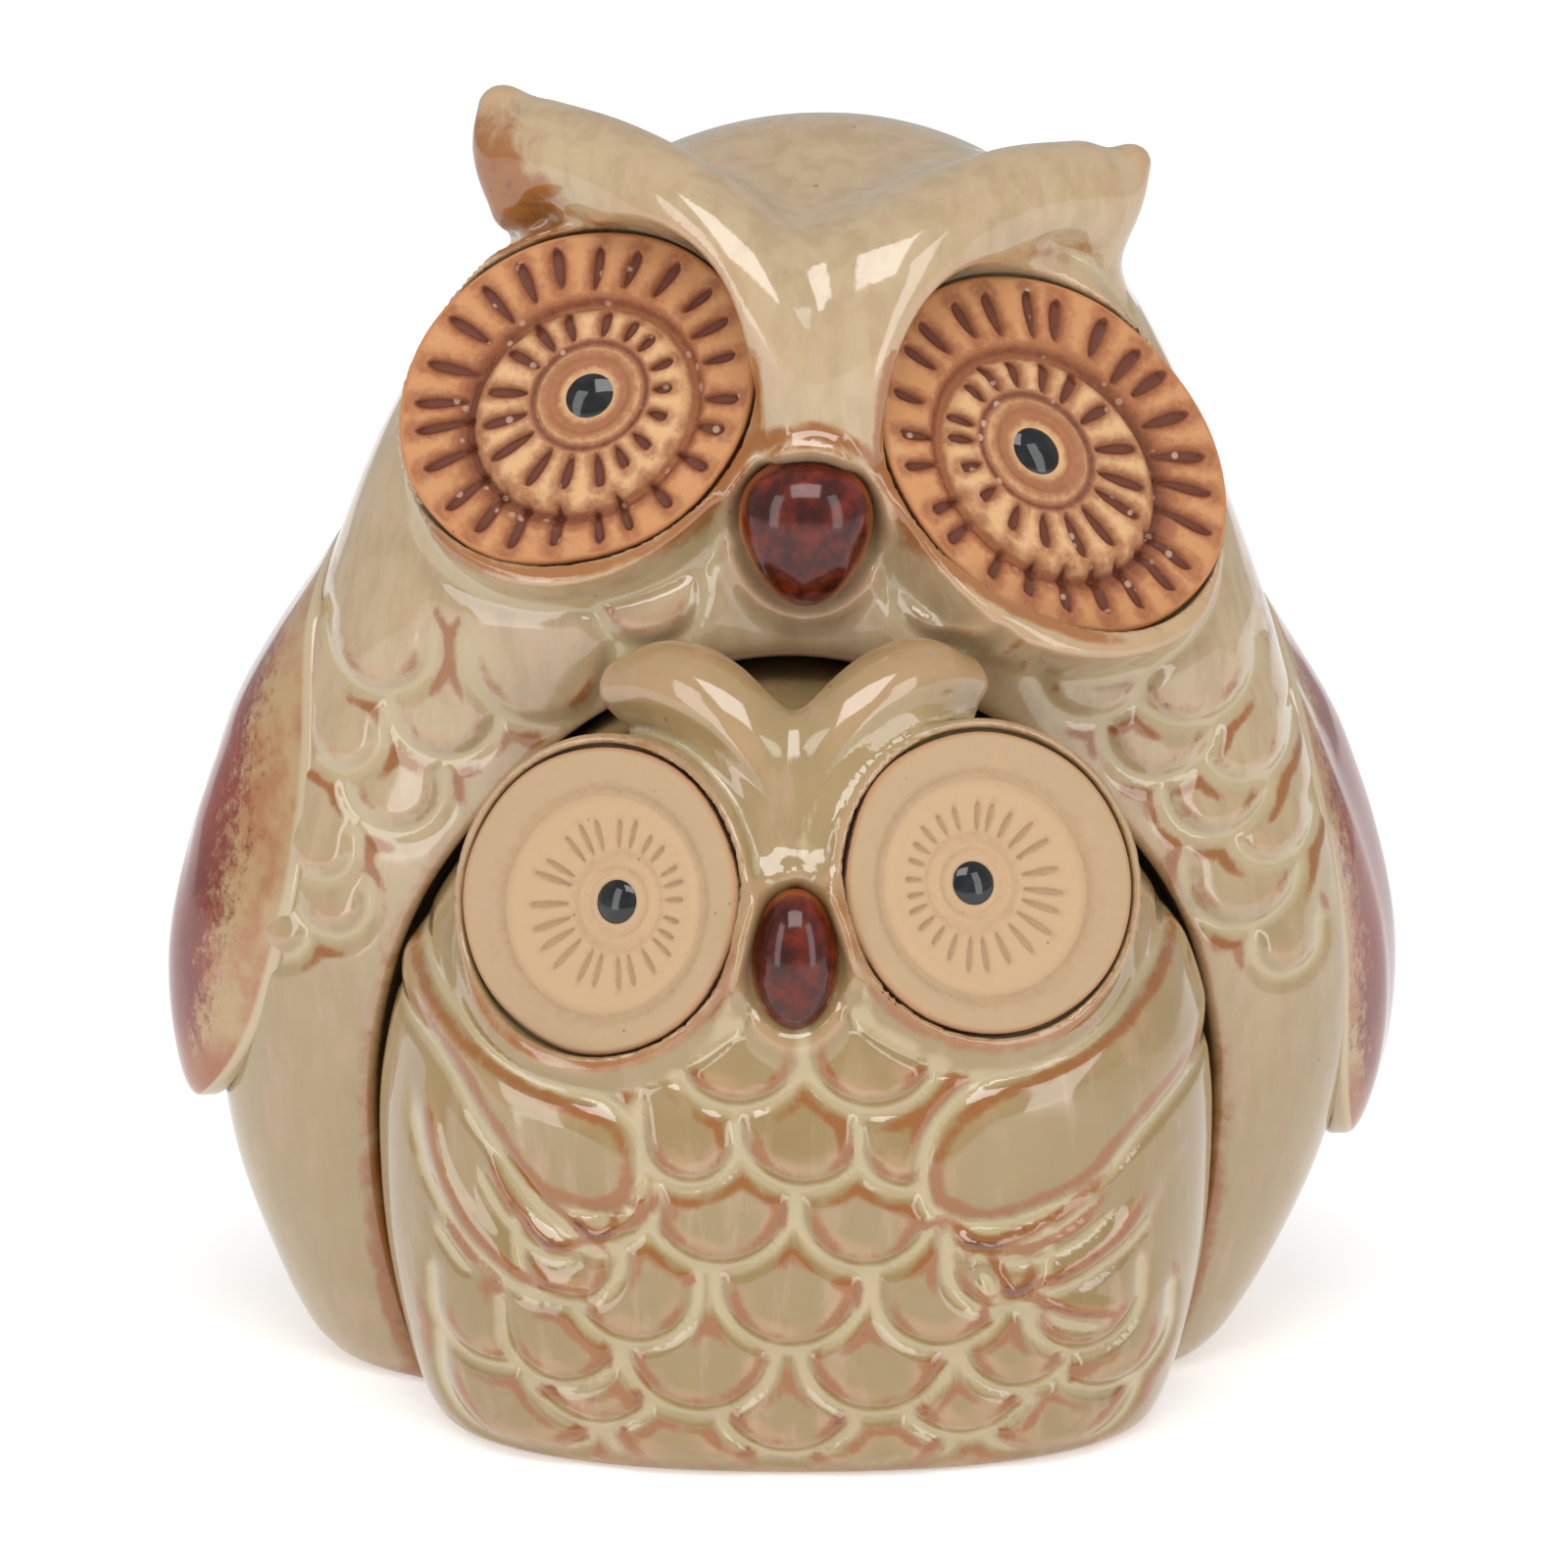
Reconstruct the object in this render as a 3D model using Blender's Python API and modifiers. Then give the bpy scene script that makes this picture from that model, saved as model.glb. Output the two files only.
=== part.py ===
"""Nesting pair of glazed stoneware owls: an adult with a niche in its front, and a baby owl that stands in it.

Both owls are hollow slip-cast shells with a pour hole underneath. Their eye discs, pupils and beaks, and the
adult's wings, are separate pressed pieces, each bedded in its own place with a hairline gap round it.
+Z is up and the owls face -Y. Left and right are as seen from the front.
Lengths are in millimetres until they are placed, and MM turns them into Blender's metres.
"""

import math
from collections import namedtuple

import bmesh
import bpy
from mathutils import Euler, Matrix, Vector

MM = 0.001
GAP = 0.3
NICHE_GAP = 1.4
WALL = 4.5
SOLID_SIDE = 15.0
SEAT_WALL = 2.2
POUR_HOLE_RADIUS = 6.0

# One level of an owl's body: its half width, how far it reaches forward and back of its own centre, and that
# centre. Above dome_start the section shrinks as an ellipse does, to nothing at the crown.
Level = namedtuple("Level", "height half_width front back centre_x centre_y")
Form = namedtuple("Form", "levels dome_start crown squareness")

ADULT = Form(
    levels=(
        Level(0, 42.6, 24.5, 25.5, -1.5, 9.4),
        Level(3, 45.4, 25.8, 28.5, -1.4, 9.4),
        Level(10, 49.2, 27.0, 32.0, -1.0, 9.4),
        Level(20, 53.2, 27.5, 35.5, -0.5, 9.4),
        Level(30, 55.2, 27.5, 37.0, 0.0, 9.4),
        Level(40, 55.4, 27.5, 37.0, 0.2, 9.4),
        Level(50, 53.4, 27.5, 35.5, 0.4, 9.2),
        Level(60, 50.3, 27.3, 33.5, 0.5, 8.8),
        Level(70, 47.2, 27.5, 31.5, 0.6, 8.2),
        Level(80, 44.6, 29.0, 30.0, 0.7, 7.4),
        Level(94, 42.8, 31.0, 29.5, 0.8, 6.4),
        Level(107, 42.4, 31.5, 29.5, 1.6, 5.9),
        Level(121, 42.4, 31.5, 29.5, 2.4, 5.4),
    ),
    dome_start=70,
    crown=121,
    squareness=2.5,
)
BABY = Form(
    levels=(
        Level(0, 33.6, 24.0, 19.0, 1.2, -15.6),
        Level(3, 35.2, 25.6, 21.0, 1.1, -15.6),
        Level(8, 36.8, 27.0, 22.8, 1.1, -15.6),
        Level(17, 38.6, 28.6, 25.5, 1.1, -15.6),
        Level(27, 39.3, 29.2, 27.5, 1.1, -15.4),
        Level(37, 39.0, 29.8, 28.0, 1.2, -14.9),
        Level(48, 38.4, 31.5, 27.5, 1.3, -14.1),
        Level(60, 36.0, 31.5, 26.0, 1.0, -13.1),
        Level(74, 32.5, 30.5, 25.0, 0.6, -12.1),
    ),
    dome_start=30,
    crown=73.5,
    squareness=2.3,
)

# A bead on a brow: centre and radius. A brow swells at its tuft and thins towards the beak.
ADULT_BROWS = {
    "left": (
        (-27.6, -3.4, 119.8, 3.8),
        (-22.7, -5.6, 118.0, 5.0),
        (-15.6, -10.2, 115.6, 5.4),
        (-8.6, -15.8, 111.6, 5.2),
        (-3.2, -20.2, 106.4, 4.6),
        (0.0, -22.8, 99.6, 4.0),
        (0.4, -22.8, 92.0, 2.8),
    ),
    "right": (
        (32.6, -2.8, 115.2, 3.6),
        (27.8, -5.2, 114.0, 4.8),
        (20.8, -9.9, 113.0, 5.3),
        (14.0, -15.4, 110.4, 5.2),
        (9.2, -20.0, 105.8, 4.8),
        (6.4, -22.4, 99.0, 4.6),
        (5.8, -22.8, 92.0, 2.8),
    ),
}
BABY_BROWS = {
    "left": (
        (-13.4, -26.1, 71.0, 3.6),
        (-9.4, -29.6, 71.6, 4.7),
        (-4.6, -33.2, 69.0, 4.2),
        (-1.8, -36.2, 63.5, 3.4),
        (-0.9, -38.6, 57.0, 2.6),
    ),
    "right": (
        (15.2, -26.1, 71.2, 3.6),
        (11.4, -29.6, 71.8, 4.7),
        (6.4, -33.2, 69.0, 4.2),
        (3.6, -36.2, 63.5, 3.4),
        (2.8, -38.6, 57.0, 2.6),
    ),
}
BROW_WIDTH = 1.12
BROW_DEPTH = 0.85
TUFT_BLUNTNESS = 12
NOSE_BLUNTNESS = 8
BROW_REACH = 0.02

# An eye disc: centre of its face, how far it is turned outwards and tipped upwards, its mean radius, how much
# longer it is than wide and along which slope, and how far its pupil sits from its centre.
Eye = namedtuple("Eye", "centre turn tip radius stretch slope pupil_shift")
ADULT_EYES = {
    "left": Eye((-19.3, -17.2, 96.8), -15, 22, 16.5, 1.04, 18, 1.4),
    "right": Eye((25.2, -16.6, 91.6), 25, 22, 17.1, 1.05, -35, -2.0),
}
BABY_EYES = {
    "left": Eye((-16.9, -37.2, 53.6), -27, 13, 14.4, 1.0, 0, 2.0),
    "right": Eye((18.7, -37.4, 55.3), 21, 18, 14.3, 1.0, 0, -1.7),
}
DISC_THICKNESS = 3.0
DISC_EDGE_RADIUS = 0.6
BOSS_RIM = 1.3
BOSS_LENGTH = 11.0
BOSS_SPREAD = 2.4
RIM_PROUD = 0.4
PUPIL_RADIUS = {"adult": 2.15, "baby": 1.95}
PUPIL_DEPTH = 1.6
PUPIL_DOME = 1.1
# How far a cutter reaches out beyond the face it cuts.
OVERRUN = 5.0
DISC_STEPS = 30
BOSS_STEPS = 36
POCKET_STEPS = 40
PUPIL_STEPS = 16
HOLE_STEPS = 32

# A beak: its centre, its half sizes across, in depth and in height, how much wider it is above, and how many
# degrees it leans.
Beak = namedtuple("Beak", "centre half_sizes taper lean")
ADULT_BEAK = Beak((2.0, -24.2, 85.4), (6.1, 5.4, 6.9), 0.2, -8)
BABY_BEAK = Beak((1.0, -42.2, 49.2), (4.0, 4.4, 6.4), 0.0, -6)
BEAK_HOOK = 0.12

# A wing is a leaf laid on the adult's side. Its place round the body is in degrees from the side (0) to the
# middle of the back (90).
Wing = namedtuple("Wing", "middle_height half_height middle_angle half_angle sweep")
WINGS = {
    "left": Wing(54.0, 29.5, 16.0, 47.0, 12.0),
    "right": Wing(51.0, 30.5, 25.0, 38.0, 14.0),
}
WING_THICKNESS = 4.8
WING_STANDOFF = 0.45
WING_FULLNESS = 0.45

POUR_HOLES = {"adult": (0.0, 20.4), "baby": (1.2, -15.6)}
NICHE_BELOW = -8.0
NICHE_MOUTH = -70.0

COLOURS = {
    "cream_glaze": ((0.56, 0.45, 0.29), 0.12),
    "red_glaze": ((0.30, 0.09, 0.06), 0.12),
    "orange_bisque": ((0.72, 0.38, 0.18), 0.8),
    "tan_bisque": ((0.68, 0.49, 0.30), 0.8),
    "brown_glaze": ((0.13, 0.02, 0.015), 0.08),
    "black_glaze": ((0.01, 0.01, 0.011), 0.08),
}


# ---------------------------------------------------------------- scene and materials


def clear_scene():
    for thing in list(bpy.data.objects):
        bpy.data.objects.remove(thing)


def new_collection(name):
    made = bpy.data.collections.new(name)
    bpy.context.scene.collection.children.link(made)
    return made


def material(name):
    found = bpy.data.materials.get(name)
    if found:
        return found
    colour, roughness = COLOURS[name]
    made = bpy.data.materials.new(name)
    made.use_nodes = True
    shader = made.node_tree.nodes["Principled BSDF"]
    shader.inputs["Base Color"].default_value = (*colour, 1)
    shader.inputs["Roughness"].default_value = roughness
    shader.inputs["Metallic"].default_value = 0
    return made


def new_object(name, mesh, collection, finish=None):
    made = bpy.data.objects.new(name, mesh)
    collection.objects.link(made)
    if finish:
        mesh.materials.append(material(finish))
        mesh.shade_smooth()
        mesh.set_sharp_from_angle(angle=math.radians(40))
    return made


def new_cutter(name, mesh):
    made = new_object(name, mesh, cutters)
    made.hide_render = True
    made.display_type = "WIRE"
    return made


def boolean(target, tool, operation):
    step = target.modifiers.new(f"{operation.lower()}_{tool.name}", "BOOLEAN")
    step.operation = operation
    step.solver = "EXACT"
    step.object = tool


# ---------------------------------------------------------------- body forms


def level_at(form, height):
    """The body's section at a height, on a smooth curve through the levels."""
    levels = form.levels
    last = len(levels) - 1
    height = min(max(height, levels[0].height), levels[-1].height)
    i = max(k for k in range(last) if levels[k].height <= height)
    below, above = levels[i], levels[i + 1]
    span = above.height - below.height
    t = (height - below.height) / span

    def slope(k, field):
        a, b = levels[max(k - 1, 0)], levels[min(k + 1, last)]
        return (getattr(b, field) - getattr(a, field)) / (b.height - a.height)

    values = [height]
    for field in Level._fields[1:]:
        start, end = getattr(below, field), getattr(above, field)
        values.append(
            (2 * t**3 - 3 * t**2 + 1) * start
            + (t**3 - 2 * t**2 + t) * span * slope(i, field)
            + (3 * t**2 - 2 * t**3) * end
            + (t**3 - t**2) * span * slope(i + 1, field)
        )
    return Level(*values)


def dome_factor(form, height):
    """How much the section has shrunk towards the crown."""
    rise = (height - form.dome_start) / (form.crown - form.dome_start)
    return math.sqrt(max(1 - max(rise, 0) ** 2, 0))


def signed_power(value, power):
    return math.copysign(abs(value) ** power, value)


def body_point(form, height, angle, outset=0.0, outset_sides=None, stretch=1.0):
    """A point of the body's skin, moved outwards by outset. Angle 0 is the +X side and 90 degrees the back."""
    sides = outset if outset_sides is None else outset_sides
    level = level_at(form, height / stretch)
    shrink = dome_factor(form, height / stretch)
    power = 2 / form.squareness
    across, deep = signed_power(math.cos(angle), power), signed_power(math.sin(angle), power)
    reach = level.back if deep > 0 else level.front
    return Vector(
        (
            level.centre_x + across * (level.half_width + sides) * shrink,
            level.centre_y + deep * (reach + outset) * shrink,
            height,
        )
    )


def shaped_sphere(place, around, rings):
    """A UV sphere whose points are moved by place(angle, share of the way up)."""
    form = bmesh.new()
    bmesh.ops.create_uvsphere(form, u_segments=around, v_segments=rings, radius=1)
    for vertex in form.verts:
        share = 1 - math.acos(max(-1, min(1, vertex.co.z))) / math.pi
        angle = math.atan2(vertex.co.y, vertex.co.x)
        vertex.co = place(angle, share) * MM
    return form


def to_mesh(name, form):
    """Ends a form as a mesh of flat triangles that face outwards, which Booleans cut cleanly."""
    bmesh.ops.triangulate(form, faces=form.faces)
    bmesh.ops.recalc_face_normals(form, faces=form.faces)
    if form.calc_volume(signed=True) < 0:
        bmesh.ops.reverse_faces(form, faces=form.faces)
    made = bpy.data.meshes.new(name)
    form.to_mesh(made)
    form.free()
    return made


def rising(share, rings, bottom, top):
    """Heights that crowd together towards the crown. The first ring above the lower pole stays at the bottom."""
    upward = max(0.0, (share * rings - 1) / (rings - 1))
    return bottom + (top - bottom) * math.sin(upward * math.pi / 2)


def body_mesh(name, form, around, rings):
    def place(angle, share):
        height = rising(share, rings, 0, form.crown)
        if share == 0:
            level = form.levels[0]
            return Vector((level.centre_x, level.centre_y, 0))
        return body_point(form, height, angle)

    return to_mesh(name, shaped_sphere(place, around, rings))


def hollow_mesh(name, form, around, rings):
    """The inside of the shell: the body's form, set in by the wall."""
    depth = form.crown - 2 * WALL
    stretch = depth / form.crown

    def place(angle, share):
        height = rising(share, rings, 0, depth)
        if share == 0:
            level = form.levels[0]
            return Vector((level.centre_x, level.centre_y, WALL))
        return body_point(form, height, angle, -WALL, stretch=stretch) + Vector((0, 0, WALL))

    return to_mesh(name, shaped_sphere(place, around, rings))


def niche_mesh(name, outset, outset_sides, around=36, rings=16):
    """The baby's back with room round it, swept forward out of the adult's front, so that the baby can slide out."""
    stretch = (BABY.crown + outset) / BABY.crown

    def place(angle, share):
        height = rising(share, rings, NICHE_BELOW, BABY.crown + outset)
        if share == 0:
            return Vector((BABY.levels[0].centre_x, BABY.levels[0].centre_y, NICHE_BELOW))
        spot = body_point(BABY, max(height, 0), angle, outset, outset_sides, stretch)
        spot.z = height
        if angle < -1e-4 and share < 1:
            spot.y = NICHE_MOUTH
        return spot

    return to_mesh(name, shaped_sphere(place, around, rings))


# ---------------------------------------------------------------- brows, discs, beaks and wings


def bead_at(beads, along):
    """Centre and radius at a place along a brow, on a smooth curve through its beads."""
    last = len(beads) - 1
    i = min(int(along * last), last - 1)
    t = along * last - i
    before, start, end, after = (beads[min(max(k, 0), last)] for k in (i - 1, i, i + 1, i + 2))

    def blend(p, a, b, q):
        return a + 0.5 * t * (b - p + t * (2 * p - 5 * a + 4 * b - q + t * (3 * (a - b) + q - p)))

    x, y, z, radius = (blend(*values) for values in zip(before, start, end, after, strict=True))
    return Vector((x, y, z)), radius


def brow_mesh(name, beads, around=12, rings=14):
    """A rounded ridge along the beads, as thick as they are. Half of it lies inside the head."""

    def place(angle, share):
        centre, radius = bead_at(beads, share)
        ahead, _ = bead_at(beads, min(share + BROW_REACH, 1))
        behind, _ = bead_at(beads, max(share - BROW_REACH, 0))
        along = (ahead - behind).normalized()
        side = along.cross(Vector((0, 1, 0))).normalized()
        front = side.cross(along)
        bluntness = TUFT_BLUNTNESS if share < 0.5 else NOSE_BLUNTNESS
        ends = 1 - abs(2 * share - 1) ** bluntness
        girth = radius * math.sqrt(max(ends, 0))
        return centre + (side * BROW_WIDTH * math.cos(angle) + front * BROW_DEPTH * math.sin(angle)) * girth

    return to_mesh(name, shaped_sphere(place, around, rings))


def eye_matrix(eye, back=0.0, shift=0.0):
    """Places a piece made round +Z, facing +Z, on the eye's axis."""
    facing = Euler((math.radians(90 - eye.tip), 0, math.radians(eye.turn)), "XYZ")
    slope = Matrix.Rotation(math.radians(eye.slope), 4, "Z")
    stretch = Matrix.Diagonal((eye.stretch, 1 / eye.stretch, 1, 1))
    return (
        Matrix.Translation(Vector(eye.centre) * MM)
        @ facing.to_matrix().to_4x4()
        @ Matrix.Translation((shift * MM, 0, -back * MM))
        @ slope
        @ stretch
        @ slope.inverted()
    )


def round_plug(name, radius, depth, steps, spread=0.0):
    """A cylinder with its front face at Z 0, wider at its back by the spread."""
    form = bmesh.new()
    bmesh.ops.create_cone(
        form,
        cap_ends=True,
        cap_tris=True,
        segments=steps,
        radius1=(radius + spread) * MM,
        radius2=radius * MM,
        depth=depth * MM,
    )
    bmesh.ops.translate(form, verts=form.verts, vec=(0, 0, -depth / 2 * MM))
    return to_mesh(name, form)


def turned_mesh(name, profile, steps):
    """A piece turned round Z from its outer profile, listed from top to bottom."""
    form = bmesh.new()
    rows = [form.verts.new((r * MM, 0, z * MM)) for r, z in profile]
    for above, below in zip(rows, rows[1:], strict=False):
        form.edges.new((above, below))
    mesh = bpy.data.meshes.new(name)
    form.to_mesh(mesh)
    form.free()
    helper = bpy.data.objects.new(name, mesh)
    cutters.objects.link(helper)
    screw = helper.modifiers.new("turn", "SCREW")
    screw.steps = screw.render_steps = steps
    screw.use_merge_vertices = True
    screw.merge_threshold = 0.00001
    bpy.context.view_layer.update()
    graph = bpy.context.evaluated_depsgraph_get()
    made = bpy.data.meshes.new_from_object(helper.evaluated_get(graph))
    bpy.data.objects.remove(helper)
    bpy.data.meshes.remove(mesh)
    form = bmesh.new()
    form.from_mesh(made)
    bmesh.ops.remove_doubles(form, verts=form.verts, dist=0.001 * MM)
    return to_mesh(name, form)


def disc_profile(radius):
    """An eye disc: a flat outer band, a ring groove, and a raised middle."""
    edge = DISC_EDGE_RADIUS
    return (
        (0, 0.5),
        (0.45 * radius, 0.5),
        (0.60 * radius, 0.2),
        (0.645 * radius, -0.5),
        (0.70 * radius, 0.1),
        (radius - edge, 0),
        (radius, -edge),
        (radius, -DISC_THICKNESS),
        (0, -DISC_THICKNESS),
    )


def add_eye(owl, side, eye, body, finish):
    """The disc in its boss and pocket, and the pupil in the disc."""
    boss_form = round_plug("boss", eye.radius + BOSS_RIM, BOSS_LENGTH, BOSS_STEPS, BOSS_SPREAD)
    boss = new_cutter(f"{owl}_boss_{side}", boss_form)
    boss.matrix_world = eye_matrix(eye, back=-RIM_PROUD)
    boolean(body, boss, "UNION")
    pocket_depth = DISC_THICKNESS + GAP + OVERRUN
    pocket_form = round_plug("pocket", eye.radius + GAP, pocket_depth, POCKET_STEPS)
    pocket = new_cutter(f"{owl}_pocket_{side}", pocket_form)
    pocket.matrix_world = eye_matrix(eye, back=-OVERRUN)
    late_cuts[owl].append(pocket)
    seat_depth = DISC_THICKNESS + GAP + SEAT_WALL
    seat_form = round_plug("seat", eye.radius + GAP + SEAT_WALL, seat_depth, BOSS_STEPS)
    seat = new_cutter(f"{owl}_seat_{side}", seat_form)
    seat.matrix_world = eye_matrix(eye)
    seats[owl].append(seat)

    disc_form = turned_mesh("disc", disc_profile(eye.radius), DISC_STEPS)
    disc = new_object(f"{owl}_eye_{side}", disc_form, parts, finish)
    disc.matrix_world = eye_matrix(eye)
    radius = PUPIL_RADIUS[owl]
    hole_form = round_plug("hole", radius + GAP, PUPIL_DEPTH + GAP + OVERRUN, PUPIL_STEPS)
    hole = new_cutter(f"{owl}_pupil_hole_{side}", hole_form)
    hole.matrix_world = eye_matrix(eye, back=-OVERRUN, shift=eye.pupil_shift)
    boolean(disc, hole, "DIFFERENCE")

    quarter = [math.radians(a) for a in range(90, -1, -30)]
    bead = [(radius * math.cos(a), PUPIL_DOME * math.sin(a)) for a in quarter]
    bead += [(radius, -PUPIL_DEPTH), (0, -PUPIL_DEPTH)]
    pupil_form = turned_mesh("pupil", bead, PUPIL_STEPS)
    pupil = new_object(f"{owl}_pupil_{side}", pupil_form, parts, "black_glaze")
    pupil.matrix_world = eye_matrix(eye, shift=eye.pupil_shift)


def beak_mesh(name, beak, outset, around=18, rings=10):
    """An egg that narrows to a blunt point at its lower end."""
    across, deep, tall = (half + outset for half in beak.half_sizes)

    def place(angle, share):
        upward = -math.cos(share * math.pi)
        girth = math.sin(share * math.pi) * (1 + beak.taper * upward)
        hook = -BEAK_HOOK * deep * max(0, -upward) ** 2
        return Vector(
            (across * girth * math.cos(angle), deep * girth * math.sin(angle) + hook, tall * upward)
        )

    return to_mesh(name, shaped_sphere(place, around, rings))


def add_beak(owl, beak):
    lean = Euler((math.radians(beak.lean), 0, 0)).to_matrix().to_4x4()
    place = Matrix.Translation(Vector(beak.centre) * MM) @ lean
    socket = new_cutter(f"{owl}_beak_socket", beak_mesh("socket", beak, GAP))
    seat = new_cutter(f"{owl}_beak_seat", beak_mesh("seat", beak, GAP + SEAT_WALL))
    piece = new_object(f"{owl}_beak", beak_mesh("beak", beak, 0), parts, "brown_glaze")
    for thing in (socket, seat, piece):
        thing.matrix_world = place
    late_cuts[owl].append(socket)
    seats[owl].append(seat)


def wing_mesh(name, wing, mirrored):
    """A leaf wrapped on the adult's skin: its inner face stands off by a hairline, its outer face is crowned."""

    def place(angle, share):
        up = -math.cos(share * math.pi)
        ring = math.sin(share * math.pi)
        across, out = ring * math.cos(angle), ring * math.sin(angle)
        height = wing.middle_height + wing.half_height * up
        turn = math.radians(wing.middle_angle + wing.sweep * up + wing.half_angle * across)
        outset = WING_STANDOFF + WING_THICKNESS * (1 + signed_power(out, WING_FULLNESS)) / 2
        if mirrored:
            turn = math.pi - turn
        return body_point(ADULT, height, turn, outset)

    return to_mesh(name, shaped_sphere(place, 28, 16))


# ---------------------------------------------------------------- the two owls


def pour_hole(owl):
    """A plug through the middle of the underside. It starts and ends one and more walls beyond it."""
    x, y = POUR_HOLES[owl]
    hole = new_cutter(f"{owl}_pour_hole", round_plug("pour_hole", POUR_HOLE_RADIUS, 4 * WALL, HOLE_STEPS))
    hole.location = (x * MM, y * MM, 2 * WALL * MM)
    return hole


def build_adult():
    body = new_object("adult_body", body_mesh("adult_body", ADULT, 56, 24), parts, "cream_glaze")
    for side, beads in ADULT_BROWS.items():
        boolean(body, new_cutter(f"adult_brow_{side}", brow_mesh("brow", beads)), "UNION")
    for side, eye in ADULT_EYES.items():
        add_eye("adult", side, eye, body, "orange_bisque")
    add_beak("adult", ADULT_BEAK)

    niche = new_cutter("niche", niche_mesh("niche", NICHE_GAP, NICHE_GAP))
    boolean(body, niche, "DIFFERENCE")
    hollow = new_cutter("adult_hollow", hollow_mesh("adult_hollow", ADULT, 24, 12))
    core = new_cutter("niche_wall", niche_mesh("niche_wall", NICHE_GAP + WALL, NICHE_GAP + SOLID_SIDE, 24, 10))
    for solid in (core, *seats["adult"]):
        boolean(hollow, solid, "DIFFERENCE")
    boolean(body, hollow, "DIFFERENCE")
    boolean(body, pour_hole("adult"), "DIFFERENCE")
    for cut in late_cuts["adult"]:
        boolean(body, cut, "DIFFERENCE")

    for side, wing in WINGS.items():
        new_object(f"adult_wing_{side}", wing_mesh("wing", wing, side == "left"), parts, "red_glaze")


def build_baby():
    body = new_object("baby_body", body_mesh("baby_body", BABY, 52, 20), parts, "cream_glaze")
    for side, beads in BABY_BROWS.items():
        boolean(body, new_cutter(f"baby_brow_{side}", brow_mesh("brow", beads)), "UNION")
    for side, eye in BABY_EYES.items():
        add_eye("baby", side, eye, body, "tan_bisque")
    add_beak("baby", BABY_BEAK)

    hollow = new_cutter("baby_hollow", hollow_mesh("baby_hollow", BABY, 20, 10))
    for solid in seats["baby"]:
        boolean(hollow, solid, "DIFFERENCE")
    boolean(body, hollow, "DIFFERENCE")
    boolean(body, pour_hole("baby"), "DIFFERENCE")
    for cut in late_cuts["baby"]:
        boolean(body, cut, "DIFFERENCE")


clear_scene()
parts = new_collection("nesting_owls")
cutters = new_collection("cutters")
late_cuts = {"adult": [], "baby": []}
seats = {"adult": [], "baby": []}
build_adult()
build_baby()
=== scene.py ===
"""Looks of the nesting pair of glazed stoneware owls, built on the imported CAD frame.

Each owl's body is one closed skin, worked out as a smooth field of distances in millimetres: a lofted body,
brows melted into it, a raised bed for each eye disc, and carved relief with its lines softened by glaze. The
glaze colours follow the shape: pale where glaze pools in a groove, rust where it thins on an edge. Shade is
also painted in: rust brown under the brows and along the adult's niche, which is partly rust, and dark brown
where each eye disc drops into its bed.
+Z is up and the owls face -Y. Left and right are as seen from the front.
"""

import math
from collections import namedtuple

import bpy
import numpy as np
from mathutils import Euler, Matrix, Vector


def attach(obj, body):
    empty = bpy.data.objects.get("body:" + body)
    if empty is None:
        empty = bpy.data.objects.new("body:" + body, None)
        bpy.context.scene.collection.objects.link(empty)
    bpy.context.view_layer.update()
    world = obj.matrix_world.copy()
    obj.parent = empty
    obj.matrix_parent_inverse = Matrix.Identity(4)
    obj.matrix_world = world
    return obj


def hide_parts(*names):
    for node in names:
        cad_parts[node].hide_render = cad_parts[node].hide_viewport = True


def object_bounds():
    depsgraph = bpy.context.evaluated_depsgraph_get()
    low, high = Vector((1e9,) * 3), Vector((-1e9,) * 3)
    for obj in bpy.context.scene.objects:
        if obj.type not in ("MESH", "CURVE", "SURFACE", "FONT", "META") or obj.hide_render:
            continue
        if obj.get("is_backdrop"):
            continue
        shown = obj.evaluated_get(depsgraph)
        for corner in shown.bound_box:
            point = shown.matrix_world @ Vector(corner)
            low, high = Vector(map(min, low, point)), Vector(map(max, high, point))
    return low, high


MM = 0.001
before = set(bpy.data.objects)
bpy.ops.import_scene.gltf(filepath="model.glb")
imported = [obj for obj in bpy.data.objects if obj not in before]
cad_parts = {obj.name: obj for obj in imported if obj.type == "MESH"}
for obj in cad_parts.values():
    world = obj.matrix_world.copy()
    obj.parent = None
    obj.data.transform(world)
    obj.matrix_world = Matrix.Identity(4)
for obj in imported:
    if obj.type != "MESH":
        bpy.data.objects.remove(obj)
cad_low, cad_high = (np.array(corner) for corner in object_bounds())
# The skins' grid in millimetres, the most triangles a skin may have, and how many rings a disc has.
STEP = 0.55
MOST_TRIANGLES = 190_000
DISC_RINGS = 96
# A distance that stands for "not near", and how far the floor goes each way, both in millimetres.
FAR = 20.0
FLOOR_REACH = 6000.0


# ---------------- measures in millimetres

# These are close to the CAD part's measures, but not all the same.
# A level of a body: height, half width, reach forward and back of its own centre, centre x, centre y.
ADULT_LEVELS = (
    (0, 42.6, 24.5, 25.5, -1.5, 9.4),
    (3, 45.4, 25.8, 28.5, -1.4, 9.4),
    (10, 49.2, 27.0, 32.0, -1.0, 9.4),
    (20, 53.2, 27.5, 35.5, -0.5, 9.4),
    (30, 55.2, 27.5, 37.0, 0.0, 9.4),
    (40, 55.4, 27.5, 37.0, 0.2, 9.4),
    (50, 53.4, 27.5, 35.5, 0.4, 9.2),
    (60, 50.3, 27.3, 33.5, 0.5, 8.8),
    (70, 47.2, 27.5, 31.5, 0.6, 8.2),
    (80, 44.6, 29.0, 30.0, 0.7, 7.4),
    (94, 42.8, 31.0, 29.5, 0.8, 6.4),
    (107, 42.4, 31.5, 29.5, 2.0, 5.9),
    (121, 42.4, 31.5, 29.5, 3.8, 5.4),
)
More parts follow.
